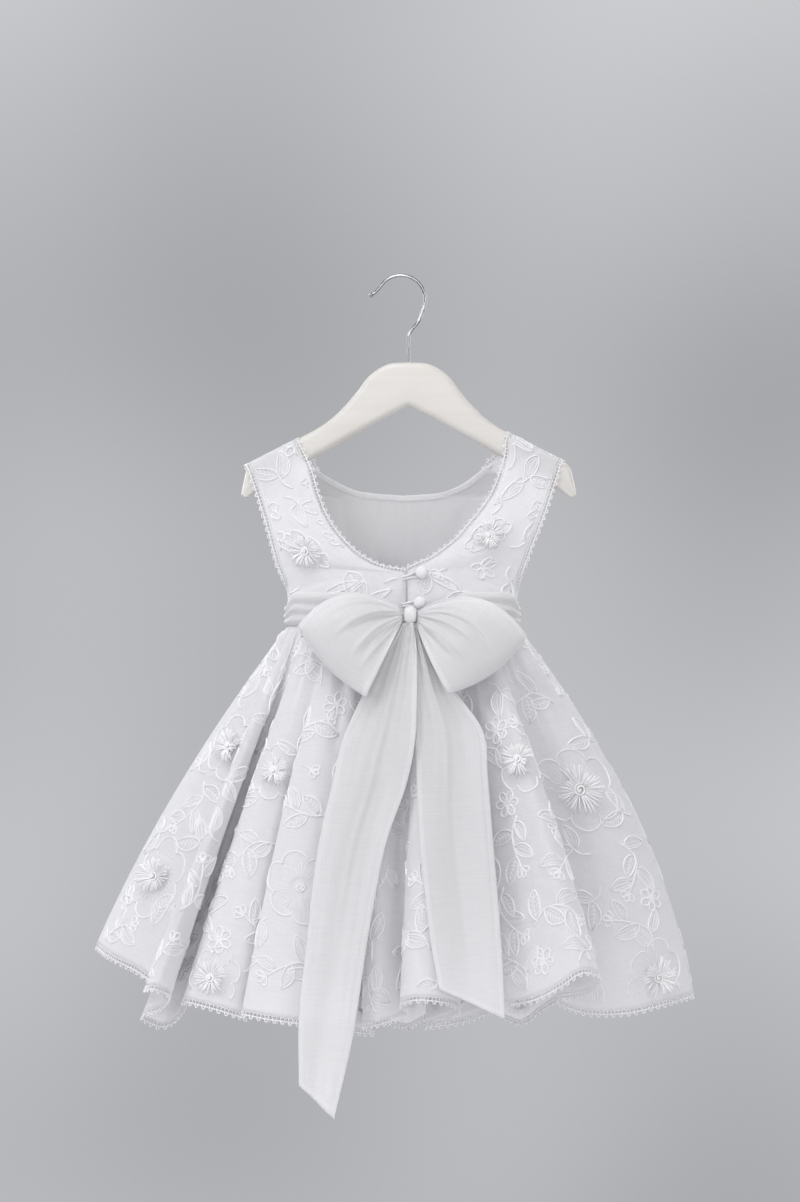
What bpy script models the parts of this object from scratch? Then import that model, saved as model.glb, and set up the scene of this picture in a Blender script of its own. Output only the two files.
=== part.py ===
"""A baby's christening gown hanging on a wooden hanger with a wire hook, its back towards -Y.

Lengths are in millimetres, and MM turns them into Blender's metres. The origin is the inner top of
the hook, where a rail carries it. +Z is up, and the gown's left and right are those of someone who
looks at its back, along +Y.
"""

import math
from functools import partial

import bmesh
import bpy
import numpy as np
from mathutils import Vector

MM = 0.001
GAP = 0.3
COTTON_WALL = 1.2
LINING_WALL = 1.0
ORGANZA_WALL = 1.0
LACE_WALL = 1.0
WELD = 0.01

LEFT, RIGHT = -1, 1
BACK, FRONT = -1, 1
SIDE_NAMES = {LEFT: "left", RIGHT: "right"}

# The hanger: a board with fully rounded edges. Its outline is given for one arm, from its middle.
HANGER_X = 7.0
BOARD_HALF = 6.0
ARM_SLOPE = math.radians(27.2)
ARM_START = (95.7, -143.6)
HANGER_TOP = [
    # from_middle, z
    (0.0, -76.8),
    (18.0, -78.3),
    (34.7, -88.2),
    (46.0, -102.6),
    (57.3, -115.8),
    (68.6, -126.8),
    (82.0, -136.2),
    (95.7, -143.6),
    (120.0, -156.1),
    (141.0, -166.9),
]
HANGER_NOSE = [
    # from_middle, z, how far its round edge reaches in
    (145.2, -171.8, 5.0),
    (147.8, -181.0, 4.0),
    (149.8, -190.5, 3.0),
    (150.4, -197.4, 1.8),
    (147.4, -199.2, 1.8),
    (136.4, -193.1, 4.0),
    (118.0, -182.1, 6.0),
]
HANGER_UNDER = [(80.0, -159.9), (40.0, -137.4), (16.0, -124.0), (5.0, -117.8)]
HANGER_APEX = (0.0, -116.6)

# The hook: a wire arc, open on the left, with a small ball on its end and a stem down to the board.
WIRE_RADIUS = 1.5
HOOK_RADIUS = 21.9
HOOK_OPENS_AT, HOOK_LEAVES_AT = 146.0, -28.0
HOOK_END = [(-28.6, -16.9), (-27.2, -16.3), (-25.6, -15.5), (-23.0, -13.8)]
HOOK_STEM = [(16.0, -39.6), (9.2, -48.4), (7.2, -52.6), (7.0, -58.0), (7.0, -66.0)]
BALL_RADII = [0.3, 1.35, 1.65, 1.35]

# The waist is a rounded oblong, and the bodice passes into it from two nearly flat faces.
WAIST_X, WAIST_HALF_WIDTH, WAIST_HALF_DEPTH, WAIST_CORNER = 1.5, 103.0, 38.0, 0.7
WAIST_Z = -313.5
ROUND_FROM, ROUND_FULL = 0.58, 0.84
STRAPS = {
    # side: distance of the strap's arm edge and neck edge from the hanger's middle
    LEFT: (143.2, 103.6),
    RIGHT: (135.4, 93.1),
}
SEAM_TURN = math.degrees(math.asin(0.5 * GAP / (BOARD_HALF + GAP)))
STRAP_TURNS = (SEAM_TURN, 30.0, 60.0)
UNDERARM = 0.841
ARMHOLE = {
    # down, x, out from the middle plane, z
    LEFT: [
        (0.064, -130.9, 8.5, -181.0),
        (0.148, -126.6, 10.5, -193.0),
        (0.230, -122.8, 12.0, -204.6),
        (0.364, -117.2, 13.5, -223.5),
        (0.500, -112.3, 13.8, -242.8),
        (0.610, -108.4, 13.2, -258.4),
        (0.700, -105.6, 12.0, -271.2),
        (0.760, -103.9, 10.4, -279.6),
        (0.800, -102.9, 8.2, -285.4),
        (0.825, -102.2, 5.2, -289.0),
        (0.836, -101.9, 2.8, -290.6),
        (UNDERARM, -101.5, 0.5 * GAP, -291.2),
        (1.000, -101.5, 0.5 * GAP, WAIST_Z),
    ],
    RIGHT: [
        (0.064, 136.2, 8.5, -180.9),
        (0.148, 132.0, 10.5, -193.0),
        (0.230, 128.4, 12.0, -204.6),
        (0.364, 121.6, 13.5, -223.5),
        (0.500, 114.0, 13.8, -242.8),
        (0.610, 108.6, 13.2, -258.4),
        (0.700, 105.4, 12.0, -271.2),
        (0.760, 104.8, 10.4, -279.6),
        (0.800, 104.7, 8.2, -285.4),
        (0.825, 104.6, 5.2, -289.0),
        (0.836, 104.5, 2.8, -290.6),
        (UNDERARM, 104.5, 0.5 * GAP, -291.2),
        (1.000, 104.5, 0.5 * GAP, WAIST_Z),
    ],
}
NECK_CORNER = {BACK: 0.62, FRONT: 0.22}
NECK = {
    # down, x, out from the middle plane, z
    (BACK, LEFT): [
        (0.10, -84.4, 11.0, -173.1),
        (0.20, -77.3, 15.0, -197.0),
        (0.31, -68.0, 20.0, -219.1),
        (0.40, -55.4, 25.5, -236.6),
        (0.48, -40.2, 30.5, -251.0),
        (0.55, -22.8, 34.5, -260.8),
        (0.60, -5.4, 37.0, -265.3),
        (0.62, 3.9, 37.4, -266.9),
        (1.00, 3.9, 38.0, WAIST_Z),
    ],
    (BACK, RIGHT): [
        (0.05, 96.2, 8.8, -162.4),
        (0.10, 91.8, 11.0, -176.9),
        (0.18, 84.6, 14.5, -194.8),
        (0.26, 74.3, 18.5, -210.6),
        (0.34, 61.7, 23.5, -225.9),
        (0.40, 52.4, 26.8, -236.6),
        (0.47, 39.3, 30.8, -247.4),
        (0.54, 25.9, 34.5, -256.2),
        (0.59, 13.2, 36.8, -261.9),
        (0.62, 6.6, 37.4, -265.6),
        (1.00, 6.6, 38.0, WAIST_Z),
    ],
    (FRONT, LEFT): [
        (0.06, -83.4, 10.0, -166.1),
        (0.12, -65.2, 15.5, -180.1),
        (0.17, -38.2, 24.0, -192.2),
        (0.22, WAIST_X, 29.0, -196.2),
        (1.00, WAIST_X, 38.0, WAIST_Z),
    ],
    (FRONT, RIGHT): [
        (0.05, 88.6, 9.0, -161.3),
        (0.09, 74.2, 12.5, -172.1),
        (0.13, 56.0, 18.5, -185.6),
        (0.17, 36.3, 24.5, -193.4),
        (0.22, WAIST_X, 29.0, -196.2),
        (1.00, WAIST_X, 38.0, WAIST_Z),
    ],
}
BACK_ROWS = (0.0, 0.07, 0.14, 0.21, 0.28, 0.35, 0.42, 0.49, 0.56, 0.62, 0.70, 0.76, 0.80, 0.825)
BACK_ROWS += (UNDERARM, 1.0)
FRONT_ROWS = (0.0, 0.05, 0.09, 0.13, 0.17, 0.22, 0.33, 0.46, 0.58, 0.69, 0.76, 0.80, 0.825)
FRONT_ROWS += (UNDERARM, 1.0)
LINING_ROWS = FRONT_ROWS[2:]
BODICE_COLUMNS = 7

# Lace: a strip along each edge, GAP off the cloth.
EDGE_LACE = 5.4
HEM_LACE = 6.8
LACE_DROOP = np.array((0.0, 0.0, -0.45))

# The skirt. Each row is one ridge, slope or valley, from the left side seam to the right one: its share
# of the way along the waist, where its hem hangs, and how far it swells out on the way down.
SKIRT_TOP = WAIST_Z - 0.6
SKIRT_LENGTH = 355.0
SKIRT_BACK_FOLDS = [
    # waist, x, y, z, swell
    (0.000, -277.0, 15.0, -606.0, 0.07),
    (0.025, -258.0, -28.0, -614.0, 0.06),
    (0.055, -233.0, -52.0, -624.0, 0.05),
    (0.085, -221.0, -64.0, -632.0, 0.03),
    (0.105, -226.0, -92.0, -635.0, 0.02),
    (0.130, -216.0, -112.0, -633.0, 0.02),
    (0.155, -205.0, -98.0, -639.0, 0.02),
    (0.170, -213.0, -62.0, -655.0, 0.02),
    (0.185, -232.0, -32.0, -667.0, 0.02),
    (0.200, -216.0, -20.0, -676.0, 0.02),
    (0.215, -191.0, -52.0, -654.0, 0.02),
    (0.230, -193.0, -80.0, -647.0, 0.03),
    (0.260, -167.0, -98.0, -651.0, 0.04),
    (0.290, -145.0, -94.0, -658.0, 0.04),
    (0.305, -135.0, -84.0, -662.0, 0.04),
    (0.320, -140.0, -104.0, -656.0, 0.04),
    (0.345, -119.0, -112.0, -659.0, 0.04),
    (0.380, -88.0, -108.0, -664.0, 0.03),
    (0.410, -62.0, -90.0, -669.0, 0.03),
    (0.430, -42.0, -52.0, -677.0, 0.03),
    (0.445, -24.0, -38.0, -680.0, 0.03),
    (0.460, -34.0, -70.0, -670.0, 0.03),
    (0.475, -22.0, -90.0, -667.0, 0.03),
    (0.488, -8.0, -80.0, -664.0, 0.03),
    (0.499, 4.0, -66.0, -660.0, 0.03),
    (0.509, 7.0, -82.0, -655.0, 0.03),
    (0.520, -1.0, -101.0, -648.0, 0.03),
    (0.540, 12.0, -116.0, -642.0, 0.03),
    (0.565, 34.0, -112.0, -644.0, 0.03),
    (0.590, 52.0, -84.0, -653.0, 0.03),
    (0.605, 35.0, -48.0, -669.0, 0.03),
    (0.620, 21.0, -28.0, -675.0, 0.03),
    (0.635, 44.0, -16.0, -674.0, 0.03),
    (0.650, 79.0, -48.0, -660.0, 0.03),
    (0.662, 93.0, -74.0, -651.0, 0.03),
    (0.676, 117.0, -96.0, -644.0, 0.03),
    (0.686, 139.0, -112.0, -631.0, 0.04),
    (0.696, 158.0, -118.0, -618.0, 0.04),
    (0.706, 173.0, -104.0, -622.0, 0.05),
    (0.720, 167.0, -66.0, -640.0, 0.06),
    (0.735, 138.0, -36.0, -650.0, 0.08),
    (0.755, 165.0, -12.0, -664.0, 0.12),
    (0.830, 205.0, -22.0, -663.0, 0.15),
    (0.920, 237.0, -14.0, -656.0, 0.16),
    (1.000, 265.0, 12.0, -651.0, 0.16),
]
SKIRT_FRONT_FOLDS = [
    # waist, x, y, z, swell
    (0.000, -277.0, 15.0, -606.0, 0.07),
    (0.030, -268.0, 44.0, -618.0, 0.06),
    (0.060, -246.0, 62.0, -632.0, 0.05),
    (0.095, -226.0, 54.0, -644.0, 0.05),
    (0.130, -204.0, 42.0, -654.0, 0.04),
    (0.160, -196.0, 66.0, -656.0, 0.04),
    (0.190, -188.0, 94.0, -652.0, 0.04),
    (0.225, -160.0, 104.0, -654.0, 0.04),
    (0.260, -134.0, 92.0, -664.0, 0.04),
    (0.295, -124.0, 62.0, -676.0, 0.03),
    (0.330, -104.0, 60.0, -680.0, 0.03),
    (0.360, -92.0, 90.0, -672.0, 0.03),
    (0.400, -66.0, 112.0, -666.0, 0.03),
    (0.440, -36.0, 108.0, -668.0, 0.03),
    (0.475, -20.0, 80.0, -680.0, 0.03),
    (0.510, 4.0, 68.0, -686.0, 0.03),
    (0.545, 22.0, 92.0, -680.0, 0.03),
    (0.580, 46.0, 114.0, -670.0, 0.03),
    (0.620, 76.0, 108.0, -668.0, 0.03),
    (0.655, 92.0, 80.0, -676.0, 0.03),
    (0.690, 110.0, 62.0, -682.0, 0.04),
    (0.725, 128.0, 80.0, -672.0, 0.06),
    (0.760, 150.0, 102.0, -662.0, 0.08),
    (0.800, 180.0, 96.0, -658.0, 0.10),
    (0.835, 196.0, 68.0, -664.0, 0.12),
    (0.870, 212.0, 50.0, -668.0, 0.14),
    (0.905, 230.0, 60.0, -662.0, 0.15),
    (0.940, 250.0, 56.0, -656.0, 0.16),
    (0.975, 264.0, 36.0, -652.0, 0.16),
    (1.000, 265.0, 12.0, -651.0, 0.16),
]
# Short creases that run out below the waist.
GATHERS = [
    # waist, depth, half width along the waist, how far down
    (0.052, 2.6, 0.010, 0.30),
    (0.142, 2.6, 0.010, 0.25),
    (0.262, 2.8, 0.010, 0.34),
    (0.318, 5.0, 0.012, 0.44),
    (0.385, 5.0, 0.012, 0.38),
    (0.448, 2.6, 0.010, 0.30),
    (0.530, 2.6, 0.010, 0.30),
    (0.604, 2.8, 0.010, 0.32),
    (0.668, 2.6, 0.010, 0.28),
    (0.765, 2.6, 0.010, 0.26),
    (0.812, 5.0, 0.012, 0.42),
    (0.885, 2.6, 0.012, 0.32),
    (0.948, 2.4, 0.012, 0.28),
]
SKIRT_COLUMNS = {BACK: 82, FRONT: 60}
SKIRT_ROWS = (0.0, 0.07, 0.18, 0.32, 0.48, 0.65, 0.83, 1.0)
SEAM_DRAW = 0.36

# The sash: a band in soft folds round the waist, which narrows to the knot at the back.
BAND_COLUMNS = 38
BAND_FOLDS = (0.0, 2.4, 0.7, 2.7, 0.4, 2.2, 0.2)
BAND_BASE = 0.5 * COTTON_WALL + GAP + 0.5 * ORGANZA_WALL
BAND_TOP, BAND_FOOT = -283.5, -312.8
BAND_TOP_AT_KNOT, BAND_FOOT_AT_KNOT = -301.5, -310.6
BAND_TOP_UNDER_ARM = -295.5
KNOT_CENTRE = (8.2, -48.9, -303.8)
KNOT_SIZE = (12.6, 14.0, 15.6)
ROOT_Y = -50.0
LOOP_COLUMNS, LOOP_ROWS = 17, 8
LOOPS = {
    # top and bottom of the root, of the outer fold; how far the top, the bottom and the fold bow out
    LEFT: {
        "root": ((1.2, -299.2), (1.2, -309.4)),
        "fold": ((-91.3, -313.8), (-31.0, -375.8)),
        "bow": (22.0, 0.0, 7.0),
    },
    RIGHT: {
        "root": ((15.2, -300.0), (15.2, -309.8)),
        "fold": ((111.7, -322.6), (41.6, -373.2)),
        "bow": (23.0, -9.0, 9.0),
    },
}
LOOP_PUFF, LOOP_BEHIND = 17.0, 4.5
TAIL_ROWS, TAIL_COLUMNS = 13, 7
TAIL_CLEAR = 6.5
TAIL_TOP_Y = -48.1
TAILS = {
    # left edge x, z and right edge x, z
    LEFT: [
        (1.6, -311.8, 7.4, -311.8),
        (-14.2, -335.1, 9.3, -335.1),
        (-35.4, -377.5, 9.0, -380.0),
        (-52.1, -416.1, 7.9, -418.7),
        (-61.6, -457.1, 2.4, -456.0),
        (-73.7, -512.6, -13.6, -507.0),
        (-82.1, -585.8, -28.8, -585.8),
        (-88.7, -652.5, -41.8, -669.9),
        (-88.7, -712.5, -58.3, -742.0),
    ],
    RIGHT: [
        (9.0, -311.8, 14.8, -311.8),
        (10.9, -331.0, 25.0, -331.0),
        (11.6, -370.0, 47.8, -370.4),
        (12.3, -409.9, 72.5, -407.0),
        (13.8, -452.0, 76.6, -447.0),
        (15.8, -498.8, 80.6, -500.0),
        (24.4, -579.8, 87.3, -585.8),
        (33.1, -629.5, 90.4, -655.1),
    ],
}

# Covered buttons on the right half, each with a loop from the left half's edge.
BUTTON_PROFILE = [
    # radius, height
    (0.0, 7.0),
    (2.3, 6.7),
    (4.3, 5.4),
    (5.1, 3.8),
    (4.5, 2.5),
    (1.6, 2.2),
    (1.6, 0.0),
    (0.0, 0.0),
]
LOOP_CORD = 0.8
BUTTON_LIFT = 0.5 * COTTON_WALL + GAP
BUTTONS = {
    # button x, z and the loop's root x, z
    "upper": (18.4, -266.4, 0.6, -271.6),
    "lower": (16.6, -293.2, 0.6, -295.2),
}

# Fringed flower centres. Strands stand out round a small backing disc.
TUFT_STRANDS = 10
TUFT_DISC, TUFT_DISC_WALL = 5.0, 1.6
TUFT_LENGTHS = (15.0, 11.5, 17.0, 13.0, 16.0)
TUFT_LIFT = (4.0, 8.4)
# Added to GAP, because the walls' flat facets run a little outside the surface that they follow.
FACET_SLACK = {"skirt": 0.1, "bodice": 0.45}
TUFTS_ON_SKIRT = [
    # half, along the hem, down, size
    (BACK, 0.063, 0.35, 0.80),
    (BACK, 0.045, 0.74, 1.00),
    (BACK, 0.290, 0.38, 0.75),
    (BACK, 0.282, 0.92, 0.80),
    (BACK, 0.798, 0.38, 0.80),
    (BACK, 0.948, 0.42, 1.15),
    (BACK, 0.968, 0.92, 0.95),
    (FRONT, 0.200, 0.60, 1.00),
    (FRONT, 0.420, 0.84, 1.00),
    (FRONT, 0.610, 0.50, 1.00),
    (FRONT, 0.860, 0.80, 1.00),
]
TUFTS_ON_BODICE = [
    # face, side, across, down, size
    (BACK, LEFT, 0.36, 0.50, 0.85),
    (BACK, RIGHT, 0.62, 0.40, 0.80),
    (FRONT, LEFT, 0.60, 0.62, 0.85),
]


def through(knots, points, at):
    """A smooth curve through the points, read at the given places along the knots."""
    knots = np.asarray(knots, float)
    points = np.asarray(points, float)
    steps = np.diff(knots)[:, None]
    slopes = np.diff(points, axis=0) / steps
    inner = (slopes[:-1] * steps[1:] + slopes[1:] * steps[:-1]) / (steps[:-1] + steps[1:])
    tangents = np.vstack([slopes[:1], inner, slopes[-1:]])
    at = np.clip(np.atleast_1d(at).astype(float), knots[0], knots[-1])
    i = np.clip(np.searchsorted(knots, at, side="right") - 1, 0, len(steps) - 1)
    w = ((at - knots[i]) / steps[i, 0])[:, None]
    start = (1 + 2 * w) * (1 - w) ** 2 * points[i] + w * (1 - w) ** 2 * steps[i] * tangents[i]
    end = w**2 * (3 - 2 * w) * points[i + 1] + w**2 * (w - 1) * steps[i] * tangents[i + 1]
    return start + end


def mix(a, b, share):
    return a + (b - a) * share


def ease(value, low, high):
    """0 below low, 1 above high, and a smooth step between."""
    share = np.clip((value - low) / (high - low), 0.0, 1.0)
    return share * share * (3 - 2 * share)


def unit(vector):
    return vector / max(np.linalg.norm(vector), 1e-9)


def finish(name, colour, roughness, metallic=0.0):
    """A plain Principled material."""
    material = bpy.data.materials.new(name)
    material.use_nodes = True
    shader = material.node_tree.nodes["Principled BSDF"]
    shader.inputs["Base Color"].default_value = (*colour, 1.0)
    shader.inputs["Roughness"].default_value = roughness
    shader.inputs["Metallic"].default_value = metallic
    return material


def place(name, data, material):
    """Puts a mesh or curve in the gown's collection as a named piece."""
    piece = bpy.data.objects.new(name, data)
    piece.data.materials.append(material)
    gown.objects.link(piece)
    return piece


def cloth(name, grids, wall, material, ring=False):
    """A wall of cloth: grids of points, joined where they share an edge, then given their thickness."""
    shape = bmesh.new()
    for grid in grids:
        rows = [[shape.verts.new(Vector(point) * MM) for point in row] for row in grid]
        for row, below in zip(rows, rows[1:]):
            count = len(row)
            for i in range(count if ring else count - 1):
                j = (i + 1) % count
                shape.faces.new((row[i], below[i], below[j], row[j]))
    bmesh.ops.remove_doubles(shape, verts=shape.verts, dist=WELD * MM)
    bmesh.ops.recalc_face_normals(shape, faces=shape.faces)
    mesh = bpy.data.meshes.new(name)
    shape.to_mesh(mesh)
    shape.free()
    mesh.shade_smooth()
    piece = place(name, mesh, material)
    thickness = piece.modifiers.new("wall", "SOLIDIFY")
    thickness.thickness = wall * MM
    thickness.offset = 0.0
    return piece


def wire(name, points, radius, material, radii=None):
    """A round wire or cord along the points."""
    curve = bpy.data.curves.new(name, "CURVE")
    curve.dimensions = "3D"
    curve.bevel_depth = radius * MM
    curve.bevel_resolution = 2
    curve.use_fill_caps = True
    spline = curve.splines.new("POLY")
    spline.points.add(len(points) - 1)
    for i, point in enumerate(points):
        spline.points[i].co = (*(Vector(point) * MM), 1.0)
        spline.points[i].radius = radii[i] if radii else 1.0
    return place(name, curve, material)


# --- hanger and hook ---------------------------------------------------------------------------


def hanger_outline():
    """The board's outline, once round: x, z and how far its round edge reaches in."""
    top = np.array(HANGER_TOP)
    along = np.concatenate([[0.0], np.cumsum(np.linalg.norm(np.diff(top, axis=0), axis=1))])
    crown = through(along, top, np.linspace(0.0, along[-1], 14))
    arm = [(out, z, BOARD_HALF) for out, z in crown] + HANGER_NOSE
    arm += [(out, z, BOARD_HALF) for out, z in HANGER_UNDER]
    right = [(HANGER_X + out, z, reach) for out, z, reach in arm]
    left = [(HANGER_X - out, z, reach) for out, z, reach in reversed(arm[1:])]
    return np.array(right + [(HANGER_X, HANGER_APEX[1], BOARD_HALF)] + left)


def make_hanger(material):
    """Rings of the outline, drawn in towards both faces as a round edge."""
    rows = hanger_outline()
    outline, reaches = rows[:, :2], rows[:, 2:]
    ahead = np.roll(outline, -1, axis=0) - np.roll(outline, 1, axis=0)
    inward = np.stack([ahead[:, 1], -ahead[:, 0]], axis=1)
    inward /= np.linalg.norm(inward, axis=1)[:, None]
    shape = bmesh.new()
    rings = []
    for turn in np.radians((-90, -58, -28, 0, 28, 58, 90)):
        ring = outline + inward * reaches * (1 - math.cos(turn))
        y = BOARD_HALF * math.sin(turn)
        rings.append([shape.verts.new(Vector((x, y, z)) * MM) for x, z in ring])
    for ring, after in zip(rings, rings[1:]):
        for i in range(len(ring)):
            j = (i + 1) % len(ring)
            shape.faces.new((ring[i], ring[j], after[j], after[i]))
    shape.faces.new(rings[0])
    shape.faces.new(rings[-1])
    bmesh.ops.recalc_face_normals(shape, faces=shape.faces)
    mesh = bpy.data.meshes.new("hanger_body")
    shape.to_mesh(mesh)
    shape.free()
    place("hanger_body", mesh, material)


def make_hook(material):
    """The wire: ball, outward curl, arc, slanting run and stem, down to the board's crown."""
    arc = []
    for degrees in np.linspace(HOOK_OPENS_AT, HOOK_LEAVES_AT, 17):
        turn = math.radians(degrees)
        arc.append((HOOK_RADIUS * math.cos(turn), WIRE_RADIUS - HOOK_RADIUS * (1 - math.sin(turn))))
    foot = (HANGER_X, HANGER_TOP[0][1] + GAP)
    route = [(x, 0.0, z) for x, z in HOOK_END + arc + HOOK_STEM + [foot]]
    radii = BALL_RADII + [1.0] * (len(route) - len(BALL_RADII))
    wire("hanger_hook", route, WIRE_RADIUS, material, radii)


# --- bodice ------------------------------------------------------------------------------------


def board_top(from_middle):
    return ARM_START[1] - (from_middle - ARM_START[0]) * math.tan(ARM_SLOPE)


def strap_point(side, face, across, degrees):
    """A point of the strap's middle layer, where it goes over the board's round edge."""
    turn = math.radians(degrees)
    arm_edge, neck_edge = STRAPS[side]
    out = mix(arm_edge, neck_edge, across)
    reach = BOARD_HALF + GAP + 0.5 * COTTON_WALL
    lean = reach * math.cos(turn) - BOARD_HALF
    x = HANGER_X + side * (out + lean * math.sin(ARM_SLOPE))
    return np.array((x, face * reach * math.sin(turn), board_top(out) + lean * math.cos(ARM_SLOPE)))


def edge_point(table, start, down):
    """A point on an edge of the bodice: x, how far out from the middle plane, z."""
    rows = np.array([(0.0, start[0], abs(start[1]), start[2])] + table)
    corner = rows[-2, 0]
    rows = rows[-2:] if down > corner else rows[:-1]
    return through(rows[:, 0], rows[:, 1:], down)[0]


def round_point(side, angle):
    """A point of the rounded oblong that the waist follows: x and how far out."""
    cosine, sine = math.cos(angle), math.sin(angle)
    x = WAIST_X + side * WAIST_HALF_WIDTH * math.copysign(abs(cosine) ** WAIST_CORNER, cosine)
    return x, WAIST_HALF_DEPTH * abs(sine) ** WAIST_CORNER


def bodice_point(side, face, across, down):
    """A point of one half of the bodice's back or front, below the board."""
    arm = edge_point(ARMHOLE[side], strap_point(side, face, 0.0, 90.0), down)
    neck = edge_point(NECK[face, side], strap_point(side, face, 1.0, 90.0), down)
    x = mix(arm[0], neck[0], across)
    out = mix(arm[1], neck[1], math.sin(0.5 * math.pi * across))
    z = mix(arm[2], neck[2], across)
    first = math.asin(min(arm[1] / WAIST_HALF_DEPTH, 1.0) ** (1 / WAIST_CORNER))
    reach = side * (neck[0] - WAIST_X) / WAIST_HALF_WIDTH
    last = math.acos(math.copysign(abs(reach) ** (1 / WAIST_CORNER), reach))
    round_x, round_out = round_point(side, mix(first, last, across))
    roundness = ease(down, ROUND_FROM, ROUND_FULL)
    return np.array((mix(x, round_x, roundness), face * mix(out, round_out, roundness), z))


def bodice_grid(side, face, rows, columns, over_board=True):
    """Rows of points from the shoulder to the waist, each from the arm side to the neck side."""
    shares = np.linspace(0.0, 1.0, columns)
    grid = []
    if over_board:
        for degrees in STRAP_TURNS:
            grid.append([strap_point(side, face, share, degrees) for share in shares])
    for down in rows:
        grid.append([bodice_point(side, face, share, down) for share in shares])
    return grid


def moved_in(grid, distance):
    """The grid moved towards the inside of the gown, square to itself."""
    points = np.array(grid)
    across = np.gradient(points, axis=1)
    along = np.gradient(points, axis=0)
    square = np.cross(across, along)
    square /= np.linalg.norm(square, axis=2)[:, :, None]
    inside = np.array((WAIST_X, 0.0, 0.0)) - points
    inside[:, :, 2] = 0.0
    sign = np.sign((square * inside).sum(axis=2))
    sign[sign == 0] = 1.0
    return points + square * sign[:, :, None] * distance


def make_bodice(cotton, voile):
    for side, name in SIDE_NAMES.items():
        grid = bodice_grid(side, BACK, BACK_ROWS, BODICE_COLUMNS)
        cloth("bodice_back_" + name, [grid], COTTON_WALL, cotton)
    halves = [bodice_grid(side, FRONT, FRONT_ROWS, BODICE_COLUMNS) for side in SIDE_NAMES]
    cloth("bodice_front", halves, COTTON_WALL, cotton)
    lining = []
    inset = 0.5 * COTTON_WALL + GAP + 0.5 * LINING_WALL
    for side in SIDE_NAMES:
        half = moved_in(bodice_grid(side, FRONT, LINING_ROWS, BODICE_COLUMNS, False), inset)
        joined = np.array(LINING_ROWS) >= NECK_CORNER[FRONT]
        half[joined, -1, 0] = WAIST_X
        lining.append(half)
    cloth("bodice_front_lining", lining, LINING_WALL, voile)


# --- lace --------------------------------------------------------------------------------------


def lace_strip(name, edge, outward, width, material, ring=False):
    """A strip from GAP off an edge to its picots."""
    near = [point + way * GAP for point, way in zip(edge, outward)]
    far = [point + way * (GAP + width) for point, way in zip(edge, outward)]
    return cloth(name, [[near, far]], LACE_WALL, material, ring)


def square_to_edge(edge, inner, ring):
    """For each point of an edge, the way off the cloth, square to the edge."""
    edge, inner = np.array(edge), np.array(inner)
    ahead = np.roll(edge, -1, axis=0) - np.roll(edge, 1, axis=0)
    if not ring:
        ahead[0], ahead[-1] = edge[1] - edge[0], edge[-1] - edge[-2]
    ahead /= np.linalg.norm(ahead, axis=1)[:, None]
    off = edge - inner
    off -= ahead * (off * ahead).sum(axis=1)[:, None]
    return off / np.linalg.norm(off, axis=1)[:, None]


def armhole_lace(side, material):
    """A closed strip: up the back edge, over the board, down the front edge and round under the arm."""
    turns = tuple(-degrees for degrees in reversed(STRAP_TURNS)) + STRAP_TURNS
    rows = {BACK: BACK_ROWS, FRONT: FRONT_ROWS}
    edge, inner = [], []
    for face in (BACK, FRONT):
        downs = [down for down in rows[face] if down < UNDERARM]
        for down in reversed(downs) if face == BACK else downs:
            edge.append(bodice_point(side, face, 0.0, down))
            near = bodice_point(side, face, 0.06, down)
            under = np.array((near[0], near[1], near[2] - 8.0))
            inner.append(mix(near, under, ease(down, 0.70, UNDERARM)))
        if face == BACK:
            for degrees in turns:
                edge.append(strap_point(side, 1, 0.0, degrees))
                inner.append(strap_point(side, 1, 0.06, degrees))
    lowest = bodice_point(side, BACK, 0.0, UNDERARM)
    edge.append(np.array((lowest[0], 0.0, lowest[2])))
    inner.append(np.array((lowest[0], 0.0, lowest[2] - 8.0)))
    outward = square_to_edge(edge, inner, True)
    lace_strip("lace_armhole_" + SIDE_NAMES[side], edge, outward, EDGE_LACE, material, True)


def neck_edge(side, face, downs):
    """The neck edge of one half from the shoulder seam down, with points a little inside it."""
    edge = [strap_point(side, face, 1.0, degrees) for degrees in STRAP_TURNS]
    inner = [strap_point(side, face, 0.94, degrees) for degrees in STRAP_TURNS]
    edge += [bodice_point(side, face, 1.0, down) for down in downs]
    inner += [bodice_point(side, face, 0.94, down) for down in downs]
    return edge, inner


def face_out(point_at, across, down, step=0.006):
    """The way that a surface faces, away from the gown's inside."""
    beside = point_at(across + step, down) - point_at(across - step, down)
    below = point_at(across, down + step) - point_at(across, down - step)
    outward = unit(np.cross(beside, below))
    away = point_at(across, down) * (1.0, 1.0, 0.0) - (WAIST_X, 0.0, 0.0)
    return outward if np.dot(outward, away) > 0.0 else -outward


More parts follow.
